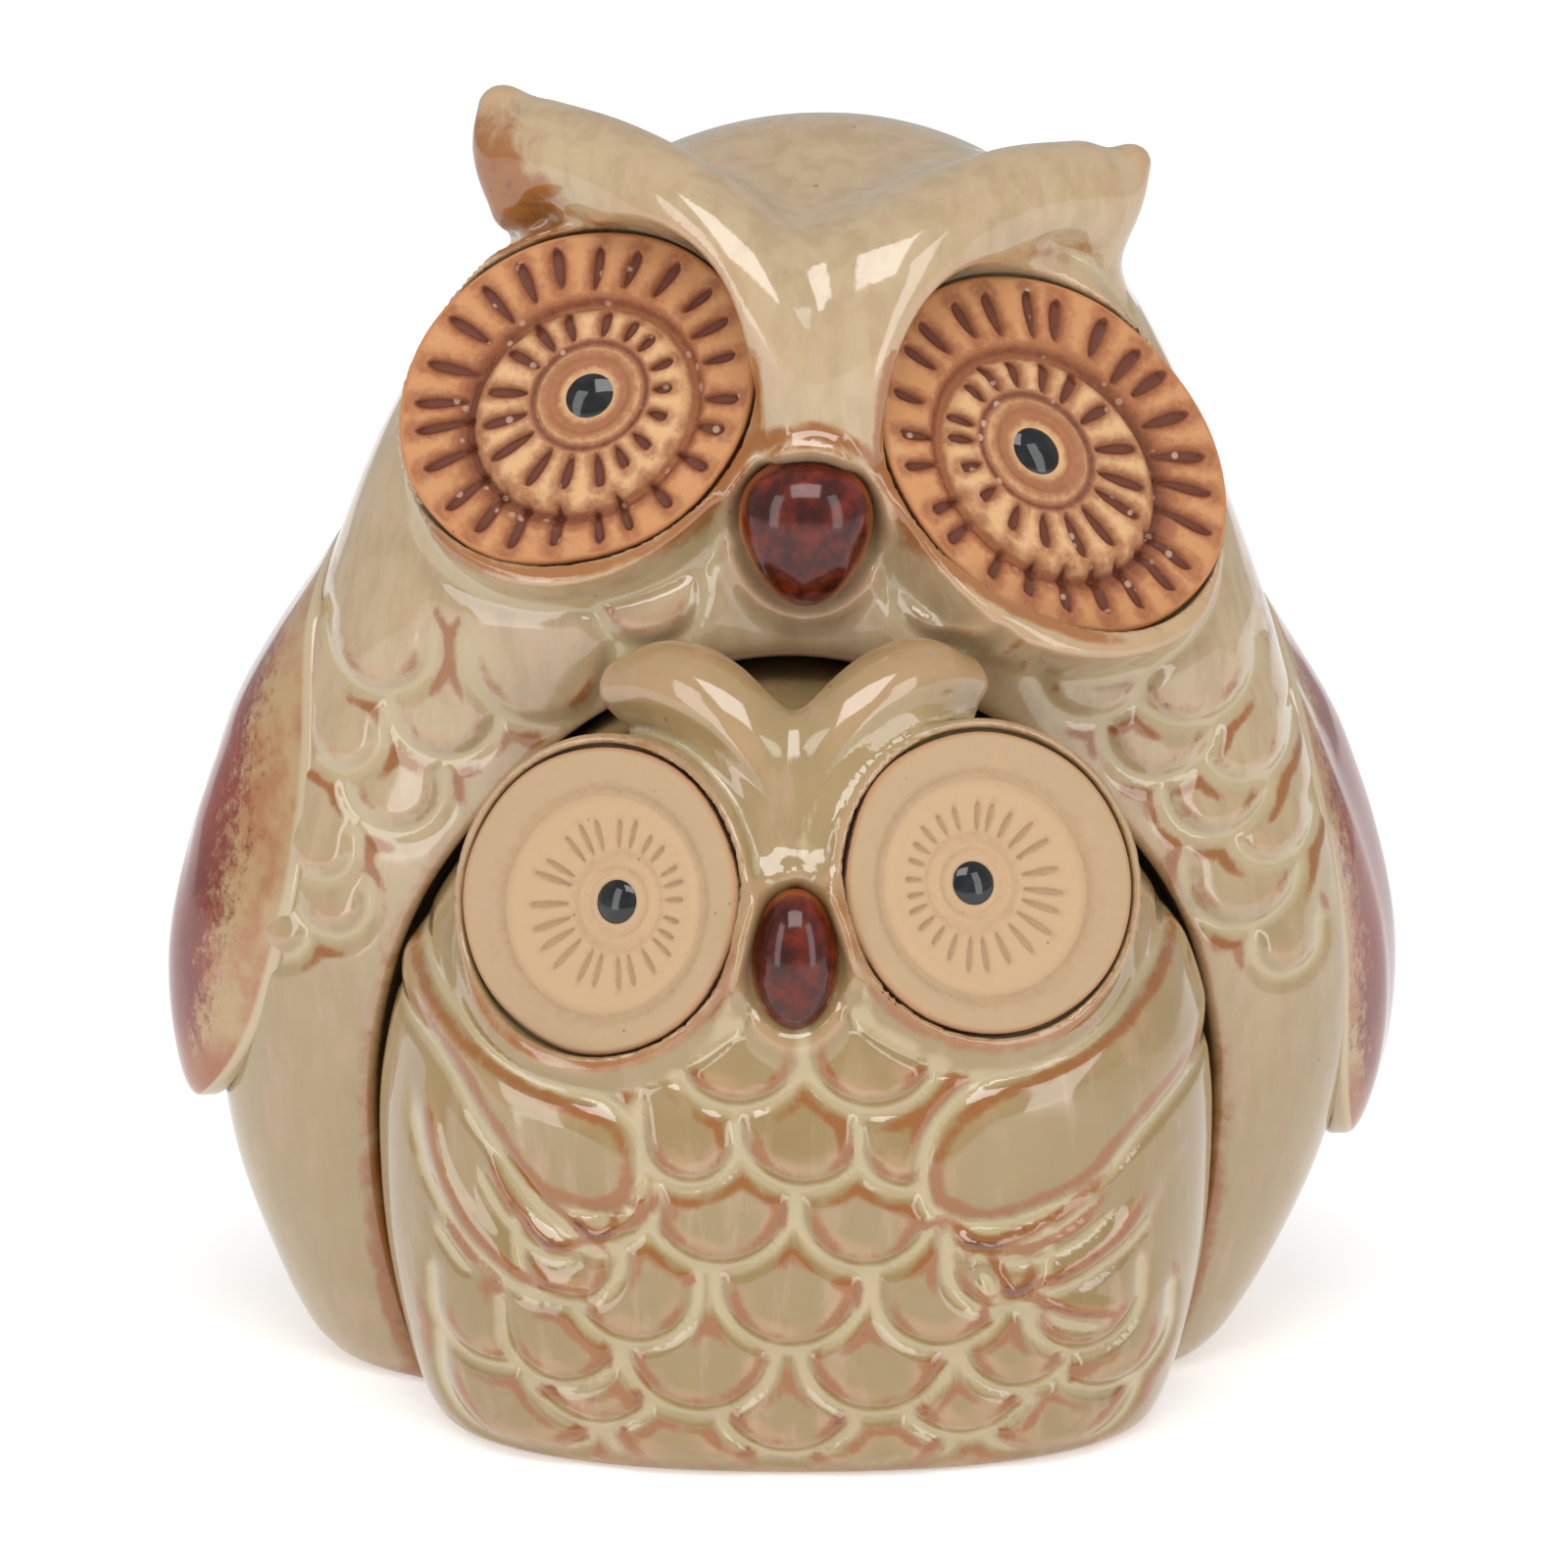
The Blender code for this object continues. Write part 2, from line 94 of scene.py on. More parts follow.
BABY_LEVELS = (
    (0, 33.6, 24.0, 19.0, 1.2, -15.6),
    (3, 35.2, 25.6, 21.0, 1.1, -15.6),
    (8, 36.8, 27.0, 22.8, 1.1, -15.6),
    (17, 38.6, 28.6, 25.5, 1.1, -15.6),
    (27, 39.3, 29.2, 27.5, 1.1, -15.4),
    (37, 39.0, 29.8, 28.0, 1.2, -14.9),
    (48, 38.4, 31.5, 27.5, 1.3, -14.1),
    (60, 36.0, 31.5, 26.0, 1.0, -13.1),
    (74, 32.5, 30.5, 25.0, 0.6, -12.1),
)
# A bead on a brow: centre and radius.
ADULT_BROWS = (
    (
        (-22.7, -5.2, 118.0, 5.3), (-16.0, -9.6, 116.6, 5.1),
        (-9.0, -15.0, 113.2, 5.2), (-3.4, -19.6, 107.8, 4.7),
        (0.4, -22.4, 101.4, 3.8), (1.0, -23.0, 94.0, 3.0),
    ),
    (
        (27.4, -5.2, 114.3, 5.1), (20.6, -9.8, 113.9, 5.2),
        (14.4, -14.8, 111.4, 5.1), (9.9, -19.2, 107.2, 4.7),
        (7.2, -22.0, 101.6, 3.9), (6.2, -23.0, 94.0, 3.0),
    ),
)
# The blunt end of each brow: small beads at its upper and lower corner.
ADULT_TUFTS = (
    ((-26.4, -3.9, 122.2, 2.3), (-26.6, -4.4, 118.8, 2.4), (-25.0, -5.6, 113.6, 2.5)),
    ((32.6, -3.2, 117.0, 1.9), (31.3, -4.0, 113.8, 2.2), (28.6, -5.6, 110.6, 2.2)),
)
BABY_BROWS = (
    (
        (-13.6, -26.1, 71.0, 3.4), (-9.4, -29.6, 71.6, 4.5),
        (-4.6, -33.2, 69.0, 4.2), (-1.8, -36.2, 63.5, 3.2),
        (-0.9, -38.6, 57.0, 2.4),
    ),
    (
        (15.4, -26.1, 71.2, 3.4), (11.4, -29.6, 71.8, 4.5),
        (6.4, -33.2, 69.0, 4.2), (3.6, -36.2, 63.5, 3.2),
        (2.8, -38.6, 57.0, 2.4),
    ),
)
DISC_DEPTH = 3.0
NICHE_GAP = 0.8
WING_OUT = 5.25
WING_SUNK = 1.4
POUR_HOLE_RADIUS = 6.0
POUR_HOLE_TOP = 9.0
# Carving fades in just above the base and outside each disc. At the seam the front's gives way to the back's.
FOOT_FADE = (0.6, 3.0)
DISC_FADE = (2.0, 4.2)
SEAM_FADE = (-5.0, 5.0)


# ---------------- field helpers


def smoothstep(value, low, high):
    t = np.clip((value - low) / (high - low), 0, 1)
    return t * t * (3 - 2 * t)


def smooth_min(a, b, reach):
    h = np.clip(0.5 + 0.5 * (b - a) / reach, 0, 1)
    return b + (a - b) * h - reach * h * (1 - h)


def smooth_max(a, b, reach):
    return -smooth_min(-a, -b, reach)


def bell(value, width):
    """1 where the value is 0, and nearly 0 at twice the width on either side."""
    return np.exp(-((value / width) ** 2))


class Form:
    """A body's smooth outer form, from its levels. Above dome_start it closes as an ellipse does."""

    def __init__(self, levels, dome_start, crown, squareness):
        self.dome_start, self.dome_height, self.squareness = dome_start, crown - dome_start, squareness
        table = np.array(levels, float)
        heights, values = table[:, 0], table[:, 1:]
        ahead = np.minimum(np.arange(len(heights)) + 1, len(heights) - 1)
        behind = np.maximum(np.arange(len(heights)) - 1, 0)
        slopes = (values[ahead] - values[behind]) / (heights[ahead] - heights[behind])[:, None]
        self.heights = np.arange(0, heights[-1] + 0.25, 0.25)
        i = np.clip(np.searchsorted(heights, self.heights, side="right") - 1, 0, len(heights) - 2)
        span = (heights[i + 1] - heights[i])[:, None]
        t = (self.heights - heights[i])[:, None] / span
        self.values = (
            (2 * t**3 - 3 * t**2 + 1) * values[i]
            + (t**3 - 2 * t**2 + t) * span * slopes[i]
            + (3 * t**2 - 2 * t**3) * values[i + 1]
            + (t**3 - t**2) * span * slopes[i + 1]
        )
        self.rates = np.gradient(self.values, 0.25, axis=0)

    def level(self, z):
        return [np.interp(z, self.heights, column) for column in self.values.T]

    def distance(self, x, y, z, open_front=False):
        """About how far a point is outside the form. With open_front the form goes on forward for ever."""
        half, front, back, centre_x, centre_y = self.level(z)
        d_half, d_front, d_back, d_x, d_y = (np.interp(z, self.heights, c) for c in self.rates.T)
        behind = y > centre_y
        depth = np.where(behind, back, front)
        across = (x - centre_x) / half
        along = (y - centre_y) / depth
        if open_front:
            along = np.maximum(along, 0)
        n = self.squareness
        u, v = np.abs(across), np.abs(along)
        rho = (u**n + v**n) ** (1 / n) + 1e-6
        rise = np.maximum((z - self.dome_start) / self.dome_height, 0)
        q = np.sqrt(rho**2 + rise**2)
        gx = (u / rho) ** (n - 1) / half
        gy = (v / rho) ** (n - 1) / depth
        gz = -gx * (np.sign(across) * d_x + u * d_half)
        gz = gz - gy * (np.sign(along) * d_y + v * np.where(behind, d_back, d_front))
        gz = (rho * gz + rise / self.dome_height) / q
        slope = np.sqrt((rho / q) ** 2 * (gx**2 + gy**2) + gz**2)
        return (q - 1) / np.maximum(slope, 0.4 / 54)

    def skin(self, z, angle, outset):
        """A point of the skin, moved outwards. Angle 0 is the +X side and 90 degrees the back."""
        half, front, back, centre_x, centre_y = self.level(z)
        rise = np.maximum((z - self.dome_start) / self.dome_height, 0)
        shrink = np.sqrt(np.maximum(1 - rise**2, 0))
        power = 2 / self.squareness
        across, deep = (np.sign(w) * np.abs(w) ** power for w in (np.cos(angle), np.sin(angle)))
        reach = np.where(deep > 0, back, front)
        x = centre_x + across * (half + outset) * shrink
        y = centre_y + deep * (reach + outset) * shrink
        return np.stack([x, y, z + 0 * x], -1)


def smooth_curve(points, count):
    """Points on a smooth curve through the given ones."""
    points = np.array(points, float)
    t = np.linspace(0, len(points) - 1, count)
    i = np.minimum(t.astype(int), len(points) - 2)
    t = (t - i)[:, None]
    p, a, b, q = (points[np.clip(i + k, 0, len(points) - 1)] for k in (-1, 0, 1, 2))
    return a + 0.5 * t * (b - p + t * (2 * p - 5 * a + 4 * b - q + t * (3 * (a - b) + q - p)))


def chain_distance(points, beads, reach=14.0):
    """Distance to a rounded ridge through beads of changing radius. Points far from it only get FAR."""
    curve = smooth_curve(beads, 73)
    low = (curve[:, :3] - curve[:, 3:]).min(0) - reach
    high = (curve[:, :3] + curve[:, 3:]).max(0) + reach
    near = ((points > low) & (points < high)).all(1)
    found = np.full(len(points), FAR)
    if not near.any():
        return found
    p = points[near]
    best = np.full(len(p), FAR)
    for start, end in zip(curve, curve[1:], strict=False):
        way = end[:3] - start[:3]
        t = np.clip(((p - start[:3]) @ way) / (way @ way), 0, 1)
        gap = np.sqrt(((p - start[:3] - t[:, None] * way) ** 2).sum(1))
        best = np.minimum(best, gap - start[3] - t * (end[3] - start[3]))
    found[near] = best
    return found


class Eye:
    """An eye disc's place: local x is to the viewer's right, local y up and local z outwards."""

    def __init__(self, centre, turn, tip, radius, stretch, slope, pupil_shift):
        self.radius, self.pupil_shift = radius, pupil_shift
        self.outward = math.copysign(1.0, -pupil_shift)
        facing = Euler((math.radians(90 - tip), 0, math.radians(turn)), "XYZ").to_matrix().to_4x4()
        slant = Matrix.Rotation(math.radians(slope), 4, "Z")
        shape = Matrix.Diagonal((stretch, 1 / stretch, 1, 1))
        self.matrix = np.array(Matrix.Translation(centre) @ facing @ slant @ shape @ slant.inverted())
        self.inverse = np.linalg.inv(self.matrix)

    def local(self, points):
        return points @ self.inverse[:3, :3].T + self.inverse[:3, 3]

    def world(self, points):
        return points @ self.matrix[:3, :3].T + self.matrix[:3, 3]

    def ring(self, points):
        """How far points are from the disc's axis, and how far in front of its face."""
        local = self.local(points)
        return np.hypot(local[:, 0], local[:, 1]), local[:, 2]


# An eye: centre, degrees turned sideways and tipped up, radius, how oval it is, the slope of its long way in
# degrees, and how far the pupil is off its centre.
ADULT_EYES = (
    Eye((-19.3, -17.2, 96.9), -15, 22, 16.8, 1.06, 30, 1.4),
    Eye((25.1, -16.6, 91.6), 25, 22, 17.5, 1.10, -46, -2.0),
)
BABY_EYES = (
    Eye((-16.9, -37.2, 53.6), -27, 13, 14.4, 1.0, 0, 2.0),
    Eye((18.7, -37.4, 55.3), 21, 18, 14.3, 1.0, 0, -1.7),
)
# A beak: centre, half sizes across, in depth and in height, how much wider it is above, and degrees of lean.
ADULT_BEAK = ((2.0, -24.2, 85.4), (6.1, 5.4, 6.9), 0.2, -8)
BABY_BEAK = ((1.0, -42.2, 49.2), (4.0, 4.4, 6.4), 0.0, -6)


# ---------------- carved relief, as pictures over x and z


class Relief:
    """Carved relief on a fine grid over x and z. Scales overlap like tiles: each ends below in a raised crest
    and a groove. Strokes are the same edge along a curve. own, other and third are the distances to the edge
    of the form on top and to the next two edges."""

    cell = 0.2
    line_width = 0.62
    low_x, high_x, low_z, high_z = -64.0, 64.0, -2.0, 124.0

    def __init__(self):
        across = np.arange(self.low_x, self.high_x, self.cell)
        up = np.arange(self.low_z, self.high_z, self.cell)
        self.x, self.z = np.meshgrid(across, up, indexing="ij")
        shape = self.x.shape
        self.own, self.other, self.third = (np.full(shape, FAR) for _ in range(3))
        self.lift, self.crest = np.zeros(shape), np.zeros(shape)

    def window(self, low_x, high_x, low_z, high_z):
        """The part of the grid between some limits."""
        i = slice(max(int((low_x - self.low_x) / self.cell), 0), int((high_x - self.low_x) / self.cell) + 1)
        k = slice(max(int((low_z - self.low_z) / self.cell), 0), int((high_z - self.low_z) / self.cell) + 1)
        return i, k

    def lay(self, at, inside, edge, lift, crest):
        """Lays a form over what is there, with its edge's distance, its height and its rusty crest."""
        self.own[at] = np.where(inside, edge, self.own[at])
        beyond = np.where(inside, FAR, edge)
        self.third[at] = np.where(inside, FAR, np.minimum(self.third[at], np.maximum(self.other[at], beyond)))
        self.other[at] = np.where(inside, FAR, np.minimum(self.other[at], beyond))
        self.lift[at] = np.where(inside, lift, self.lift[at])
        self.crest[at] = np.where(inside, crest, self.crest[at])

    def scale(self, x, bottom, half_width, depth=None, lift=0.9, crest_at=1.6, rust=1.0, fade=3.0):
        """A U-shaped scale whose sides fade out above its middle."""
        depth = depth or half_width * 0.95
        top = bottom + depth + fade + 5.0
        at = self.window(x - half_width - 4, x + half_width + 4, bottom - 4, top)
        px, pz = self.x[at], self.z[at]
        down = np.minimum(pz - bottom - depth, 0) / depth
        across = (px - x) / half_width
        ratio = np.sqrt(across**2 + down**2)
        slope = np.sqrt((across / half_width) ** 2 + (down / depth) ** 2) / np.maximum(ratio, 1e-3)
        edge = (ratio - 1) / np.maximum(slope, 1e-3)
        above = (pz - bottom) / depth
        faded = np.abs(edge) + 0.6 * np.maximum(pz - bottom - depth - fade, 0)
        rise = lift * smoothstep(faded, 0, crest_at + 0.3) * np.clip(1 - above / 1.7, 0, 1)
        line = bell(faded - crest_at, 0.8) * np.clip(1.5 - above, 0, 1) * rust
        line = line * (0.45 + 0.55 * smoothstep(np.abs(across), 0.25, 0.75))
        self.lay(at, edge < 0, faded, rise, line)

    def scales(self, rows, **looks):
        """Rows of scales, the lowest first. Each scale is its x, bottom and half width."""
        for row in rows:
            for x, bottom, half_width in row:
                self.scale(x, bottom, half_width, **looks)

    def field(self, points, lift):
        """Smooth ground inside a closed outline."""
        outline = smooth_curve([*points, points[0]], 8 * len(points))
        low, high = outline.min(0) - 4, outline.max(0) + 4
        at = self.window(low[0], high[0], low[1], high[1])
        px, pz = self.x[at], self.z[at]
        inside = np.zeros(px.shape, bool)
        for (x0, z0), (x1, z1) in zip(outline, outline[1:], strict=False):
            if z0 != z1:
                crosses = (pz > min(z0, z1)) & (pz <= max(z0, z1))
                inside ^= crosses & (px < x0 + (pz - z0) * (x1 - x0) / (z1 - z0))
        edge, _ = self.along(px, pz, outline)
        self.lay(at, inside, edge, lift * smoothstep(edge, 0, 3.5), 0.8 * bell(edge - 1.5, 0.8))

    @staticmethod
    def along(px, pz, curve):
        """Distance to a curve, and which side of it: positive above."""
        found, side = np.full(px.shape, FAR), np.ones(px.shape)
        for start, end in zip(curve, curve[1:], strict=False):
            way = end - start
            t = np.clip(((px - start[0]) * way[0] + (pz - start[1]) * way[1]) / (way @ way + 1e-9), 0, 1)
            off_x, off_z = px - start[0] - t * way[0], pz - start[1] - t * way[1]
            gap = np.hypot(off_x, off_z)
            nearer = gap < found
            found = np.where(nearer, gap, found)
            side = np.where(nearer, np.sign((off_z * way[0] - off_x * way[1]) * way[0]), side)
        return found, side

    def stroke(self, points, lift=0.6):
        """A groove along a curve under a raised crest. It fades at its last point."""
        curve = smooth_curve(points, 6 * len(points))
        low, high = curve.min(0) - 5, curve.max(0) + 5
        at = self.window(low[0], high[0], low[1], high[1])
        px, pz = self.x[at], self.z[at]
        gap, side = self.along(px, pz, curve)
        first = np.hypot(px - curve[0][0], pz - curve[0][1])
        last = np.hypot(px - curve[-1][0], pz - curve[-1][1])
        strength = smoothstep(last, 0.0, 6.0) * smoothstep(first, -1.0, 3.0)
        upper = np.where(side > 0, gap, FAR)
        self.other[at] = np.minimum(self.other[at], gap + 1.5 * (1 - strength))
        self.lift[at] += lift * strength * bell(upper - 1.6, 1.1)
        self.crest[at] = np.maximum(self.crest[at], strength * bell(upper - 1.5, 0.6))

    def finish(self, depth, width):
        """Makes the pictures: sink, the pale line in each groove, and rusty crests, also where three edges
        come near each other."""
        groove = np.minimum(self.own, self.other)
        self.sink = self.soften(depth * bell(groove, width) - self.lift, 3)
        self.line = self.soften(bell(groove, self.line_width), 1)
        corner = bell(self.other - 1.45, 0.65) * smoothstep(self.third, 7.5, 2.0)
        self.crest = self.soften(np.clip(np.maximum(self.crest, 0.9 * corner), 0, 1), 2)
        return self

    @staticmethod
    def soften(picture, rounds):
        for _ in range(rounds):
            for axis in (0, 1):
                picture = (np.roll(picture, 1, axis) + 2 * picture + np.roll(picture, -1, axis)) / 4
        return picture

    def sample(self, picture, x, z):
        i = np.clip((x - self.low_x) / self.cell, 0, picture.shape[0] - 2.001)
        k = np.clip((z - self.low_z) / self.cell, 0, picture.shape[1] - 2.001)
        i0, k0 = i.astype(int), k.astype(int)
        along_x, along_z = i - i0, k - k0
        below = picture[i0, k0] * (1 - along_x) + picture[i0 + 1, k0] * along_x
        above = picture[i0, k0 + 1] * (1 - along_x) + picture[i0 + 1, k0 + 1] * along_x
        return below * (1 - along_z) + above * along_z


def baby_front():
    """Rows of belly scales between two smooth wings, each with a few feather strokes under it."""
    r = Relief()
    rows = (
        ((-24, 0.4, 8), (-8.6, -1.6, 8), (8, -1.6, 8), (25, 0.4, 8)),
        ((-17.4, 4.4, 6.4), (0.4, 2.2, 7.0), (16.6, 3.6, 6.6), (30, 6.5, 6)),
        ((-27.0, 9.2, 5.6), (-20.4, 8.2, 5.6), (-7.8, 6.3, 7.0), (8.4, 6.3, 6.9), (21.6, 7.8, 5.6)),
        ((-13.7, 12.9, 5.9), (0.6, 12.9, 6.8), (14.4, 12.6, 6.2), (27.6, 10.9, 5.4)),
        ((-19.6, 16.6, 4.8), (-5.9, 20.8, 6.8), (7.4, 20.6, 6.2), (19.4, 16.2, 4.6)),
        ((-16.2, 22.6, 4.8), (-8.6, 28.4, 4.6), (1.8, 28.2, 6.2), (11.0, 28.0, 4.4)),
        ((-4.2, 35.6, 6.2), (8.1, 35.4, 6.4)),
    )
    r.scales(rows)
    left = ((-46.0, 62.0), (-37.0, 57.0), (-34.8, 49.5), (-31.8, 44.2), (-27.6, 40.4), (-23.0, 38.0))
    left += ((-17.7, 36.4), (-14.2, 34.4), (-12.8, 30.8), (-13.4, 27.0), (-16.6, 25.0), (-21.2, 25.8))
    left += ((-24.6, 28.4), (-28.2, 33.0), (-33.0, 39.0), (-46.0, 48.0))
    right = ((47.0, 62.0), (38.6, 58.0), (36.6, 51.0), (33.6, 45.8), (29.4, 42.0), (23.6, 39.4))
    right += ((17.6, 37.4), (14.2, 34.4), (12.5, 30.8), (12.6, 27.0), (14.6, 25.4), (18.4, 24.1))
    right += ((24.0, 25.3), (28.8, 27.4), (33.0, 31.5), (40.0, 37.0), (47.0, 41.0))
    for wing in (left, right):
        r.field(wing, 0.7)
    strokes = (
        ((-13.6, 25.2), (-14.9, 22.8), (-17.2, 21.9), (-19.9, 23.3), (-23.5, 26.4), (-28.2, 33.4)),
        ((-17.5, 21.3), (-21.8, 21.0), (-25.2, 23.7), (-27.5, 27.2), (-29.0, 32.0)),
        ((-19.8, 16.9), (-23.5, 17.0), (-27.5, 19.6), (-30.9, 23.1), (-33.5, 28.4), (-34.8, 36.6)),
        ((-27.6, 17.5), (-30.1, 19.3), (-32.7, 22.8), (-33.9, 25.8)),
        ((14.2, 23.7), (18.0, 21.6), (24.0, 22.8), (28.6, 25.5), (32.2, 28.4)),
        ((18.0, 21.0), (22.6, 20.6), (27.7, 22.5), (32.3, 26.9)),
        ((20.0, 16.6), (24.3, 17.3), (28.3, 18.7), (32.6, 21.6), (35.7, 26.6)),
        ((17.0, 21.3), (18.3, 19.6), (19.9, 16.9), (23.2, 15.5), (27.0, 13.8), (33.0, 12.6)),
    )
    for points in strokes:
        r.stroke(points)
    return r.finish(0.55, 0.75)


def adult_front():
    r = Relief()
    rows = (
        ((-48.4, 41.4, 3.2), (48.0, 39.8, 3.4)),
        ((-43.0, 44.2, 3.8), (43.6, 45.0, 5.8)),
        ((-44.4, 49.2, 3.8), (46.6, 50.6, 4.2)),
        ((-36.8, 54.8, 4.8), (41.0, 54.0, 5.4)),
        ((-42.0, 59.8, 4.0), (44.0, 58.6, 4.6)),
        ((-32.0, 62.2, 5.2), (35.4, 60.0, 5.4)),
        ((-38.2, 67.8, 5.4), (38.6, 64.8, 6.2)),
        ((-22.8, 66.0, 7.0), (29.0, 66.4, 5.4)),
        ((-12.8, 74.2, 5.4), (15.6, 74.4, 6.0)),
    )
    r.scales(rows, lift=0.55, crest_at=1.7, rust=0.8, fade=1.5)
    return r.finish(0.55, 0.9)


def adult_back():
    """Rows of scales between the wings, each a little out of true, over a fan of five tail feathers."""
    r = Relief()
    for k in (-2, 2, -1, 1, 0):
        r.scale(8.6 * k, 5.0 + 1.1 * abs(k), 5.8, depth=6.5, fade=18.0)
    for row in range(8):
        bottom = 30.0 + 8.0 * row
        count = 6 - row // 2
        for k in range(-count, count + 1):
            if (k + row) % 2 == 0:
                wander = math.sin(3.1 * k + 1.7 * row)
                rise = 0.007 * (6.4 * k) ** 2
                r.scale(6.4 * k + 0.5 * wander, bottom + rise + 0.4 * wander, 6.8, lift=0.7)
    return r.finish(0.5, 0.9)


# ---------------- the two owls as fields


def around_beak(beak, x, z, margin):
    """About how far a place is outside the beak's outline, which is grown by a margin."""
    centre, half = beak[:2]
    gap = np.hypot((x - centre[0]) / (half[0] + margin), (z - centre[2]) / (half[2] + margin)) - 1
    return gap * half[0]


class Owl:
    """One owl's skin as a field: negative inside, positive outside, about a distance in millimetres near it.
    forehead is a centre x, centre z and spread, and a swell a centre x, centre z, half width, half height and
    amount."""

    melt_behind, melt_between = 0.0, 5.0
    bare_rims = 0.0
    forehead = (1.2, 66.0, 9.0)
    swells = ()
    tufts = (None, None)
    hole = (1.2, -15.6)

    def __init__(self, form, brows, eyes, beak, melt, front, back, seam):
        self.form, self.brows, self.eyes, self.beak = form, brows, eyes, beak
        self.melt, self.front, self.back, self.seam = melt, front, back, seam

    def niche(self, x, y, z):
        return None

    def __call__(self, points):
        if len(points) > 300_000:
            return np.concatenate([self(part) for part in np.array_split(points, len(points) // 200_000 + 1)])
        x, y, z = points.T
        d = self.form.distance(x, y, z)
        centre_x, centre_z, spread = self.forehead
        between = bell(x - centre_x, spread) * smoothstep(z, centre_z - 2, centre_z + 12)
        behind = smoothstep(y, self.seam - 22.0, self.seam - 8.0)
        melt = self.melt + np.maximum(self.melt_behind * behind, self.melt_between * between)
        for beads, tuft in zip(self.brows, self.tufts, strict=True):
            ridge = chain_distance(points, beads)
            if tuft is not None:
                ridge = smooth_min(ridge, chain_distance(points, tuft), 2.5)
            d = smooth_min(d, ridge, melt)
        relief_share = np.ones(len(points))
        for eye in self.eyes:
            r, c = eye.ring(points)
            outer = smoothstep(eye.outward * eye.local(points)[:, 0], 0.55 * eye.radius, 0.9 * eye.radius)
            outer = self.bare_rims * outer
            side = r - (eye.radius + 0.8 - 0.6 * outer) + 0.03 * np.minimum(c, 0)
            bed = smooth_max(side, c + 0.05 + 1.2 * outer, 0.7)
            d = smooth_min(d, np.maximum(bed, -c - 12), 1.5)
            moat = 0.45 * bell(r - eye.radius - 3.1, 0.95)
            d = d + moat * smoothstep(-c, 9.0, 5.0) * smoothstep(c, 4.0, 2.0)
            relief_share = relief_share * smoothstep(r - eye.radius, *DISC_FADE)
        centre, half = self.beak[:2]
        beak_gap = around_beak(self.beak, x, z, 1.1)
        d = d - 1.1 * bell(beak_gap, 0.9) * (y < centre[1] + half[1])
        relief_share = relief_share * smoothstep(beak_gap, 0.4, 2.4)
        toward_front = smoothstep(self.seam - y, *SEAM_FADE)
        for swell_x, swell_z, wide, tall, amount in self.swells:
            swell = amount * np.exp(-(((x - swell_x) / wide) ** 2) - ((z - swell_z) / tall) ** 2)
            d = d - swell * smoothstep(centre[1] + 22.0 - y, 0.0, 12.0)
        relief_share = relief_share * smoothstep(z, *FOOT_FADE)
        d = d + toward_front * relief_share * self.front.sample(self.front.sink, x, z)
        if self.back is not None:
            d = d + (1 - toward_front) * self.back.sample(self.back.sink, x, z)
        niche = self.niche(x, y, z)
        if niche is not None:
            d = smooth_max(d, -niche, 1.8)
        for eye in self.eyes:
            r, c = eye.ring(points)
            d = smooth_max(d, -smooth_max(r - (eye.radius - 0.1), -c - 1.6, 0.5), 0.45)
        d = smooth_max(d, -z, 1.4)
        hole_x, hole_y = self.hole
        from_hole = np.hypot(x - hole_x, y - hole_y) - POUR_HOLE_RADIUS
        return np.maximum(d, -np.maximum(from_hole, z - POUR_HOLE_TOP))


class Adult(Owl):
    melt_behind, melt_between = 6.0, 8.0
    bare_rims = 1.0
    forehead = (4.6, 103.0, 13.0)
    swells = ((3.0, 73.0, 34.0, 8.0, 2.4), (20.0, 74.0, 11.0, 7.0, 1.6), (-18.0, 77.0, 11.0, 6.0, 1.0))
    tufts = ADULT_TUFTS
    hole = (0.0, 20.4)

    def niche(self, x, y, z):
        return NICHE_FORM.distance(x, y, z, open_front=True) - NICHE_GAP


NICHE_FORM = Form(BABY_LEVELS, 30, 72.4, 2.3)
baby_form = Form(BABY_LEVELS, 30, 71.8, 2.3)
adult_form = Form(ADULT_LEVELS, 70, 121, 2.5)
BABY = Owl(baby_form, BABY_BROWS, BABY_EYES, BABY_BEAK, 3.0, baby_front(), None, -12.0)
ADULT = Adult(adult_form, ADULT_BROWS, ADULT_EYES, ADULT_BEAK, 3.2, adult_front(), adult_back(), 8.0)


# ---------------- from a field to a mesh


def slope_of(field, points, reach=0.05):
    """The field's gradient, from four samples at the corners of a small tetrahedron."""
    corners = np.array([(1, 1, 1), (1, -1, -1), (-1, 1, -1), (-1, -1, 1)], float)
    total = np.zeros_like(points)
    for corner in corners:
        total += field(points + reach * corner)[:, None] * corner
    return total / (4 * reach)


def onto_skin(field, points, rounds):
    """Moves points onto the skin, along the field's slope."""
    for _ in range(rounds):
        gradient = slope_of(field, points)
        steep = np.maximum((gradient**2).sum(1), 0.2)
        points = points - (np.clip(field(points), -0.6, 0.6) / steep)[:, None] * gradient
    return points


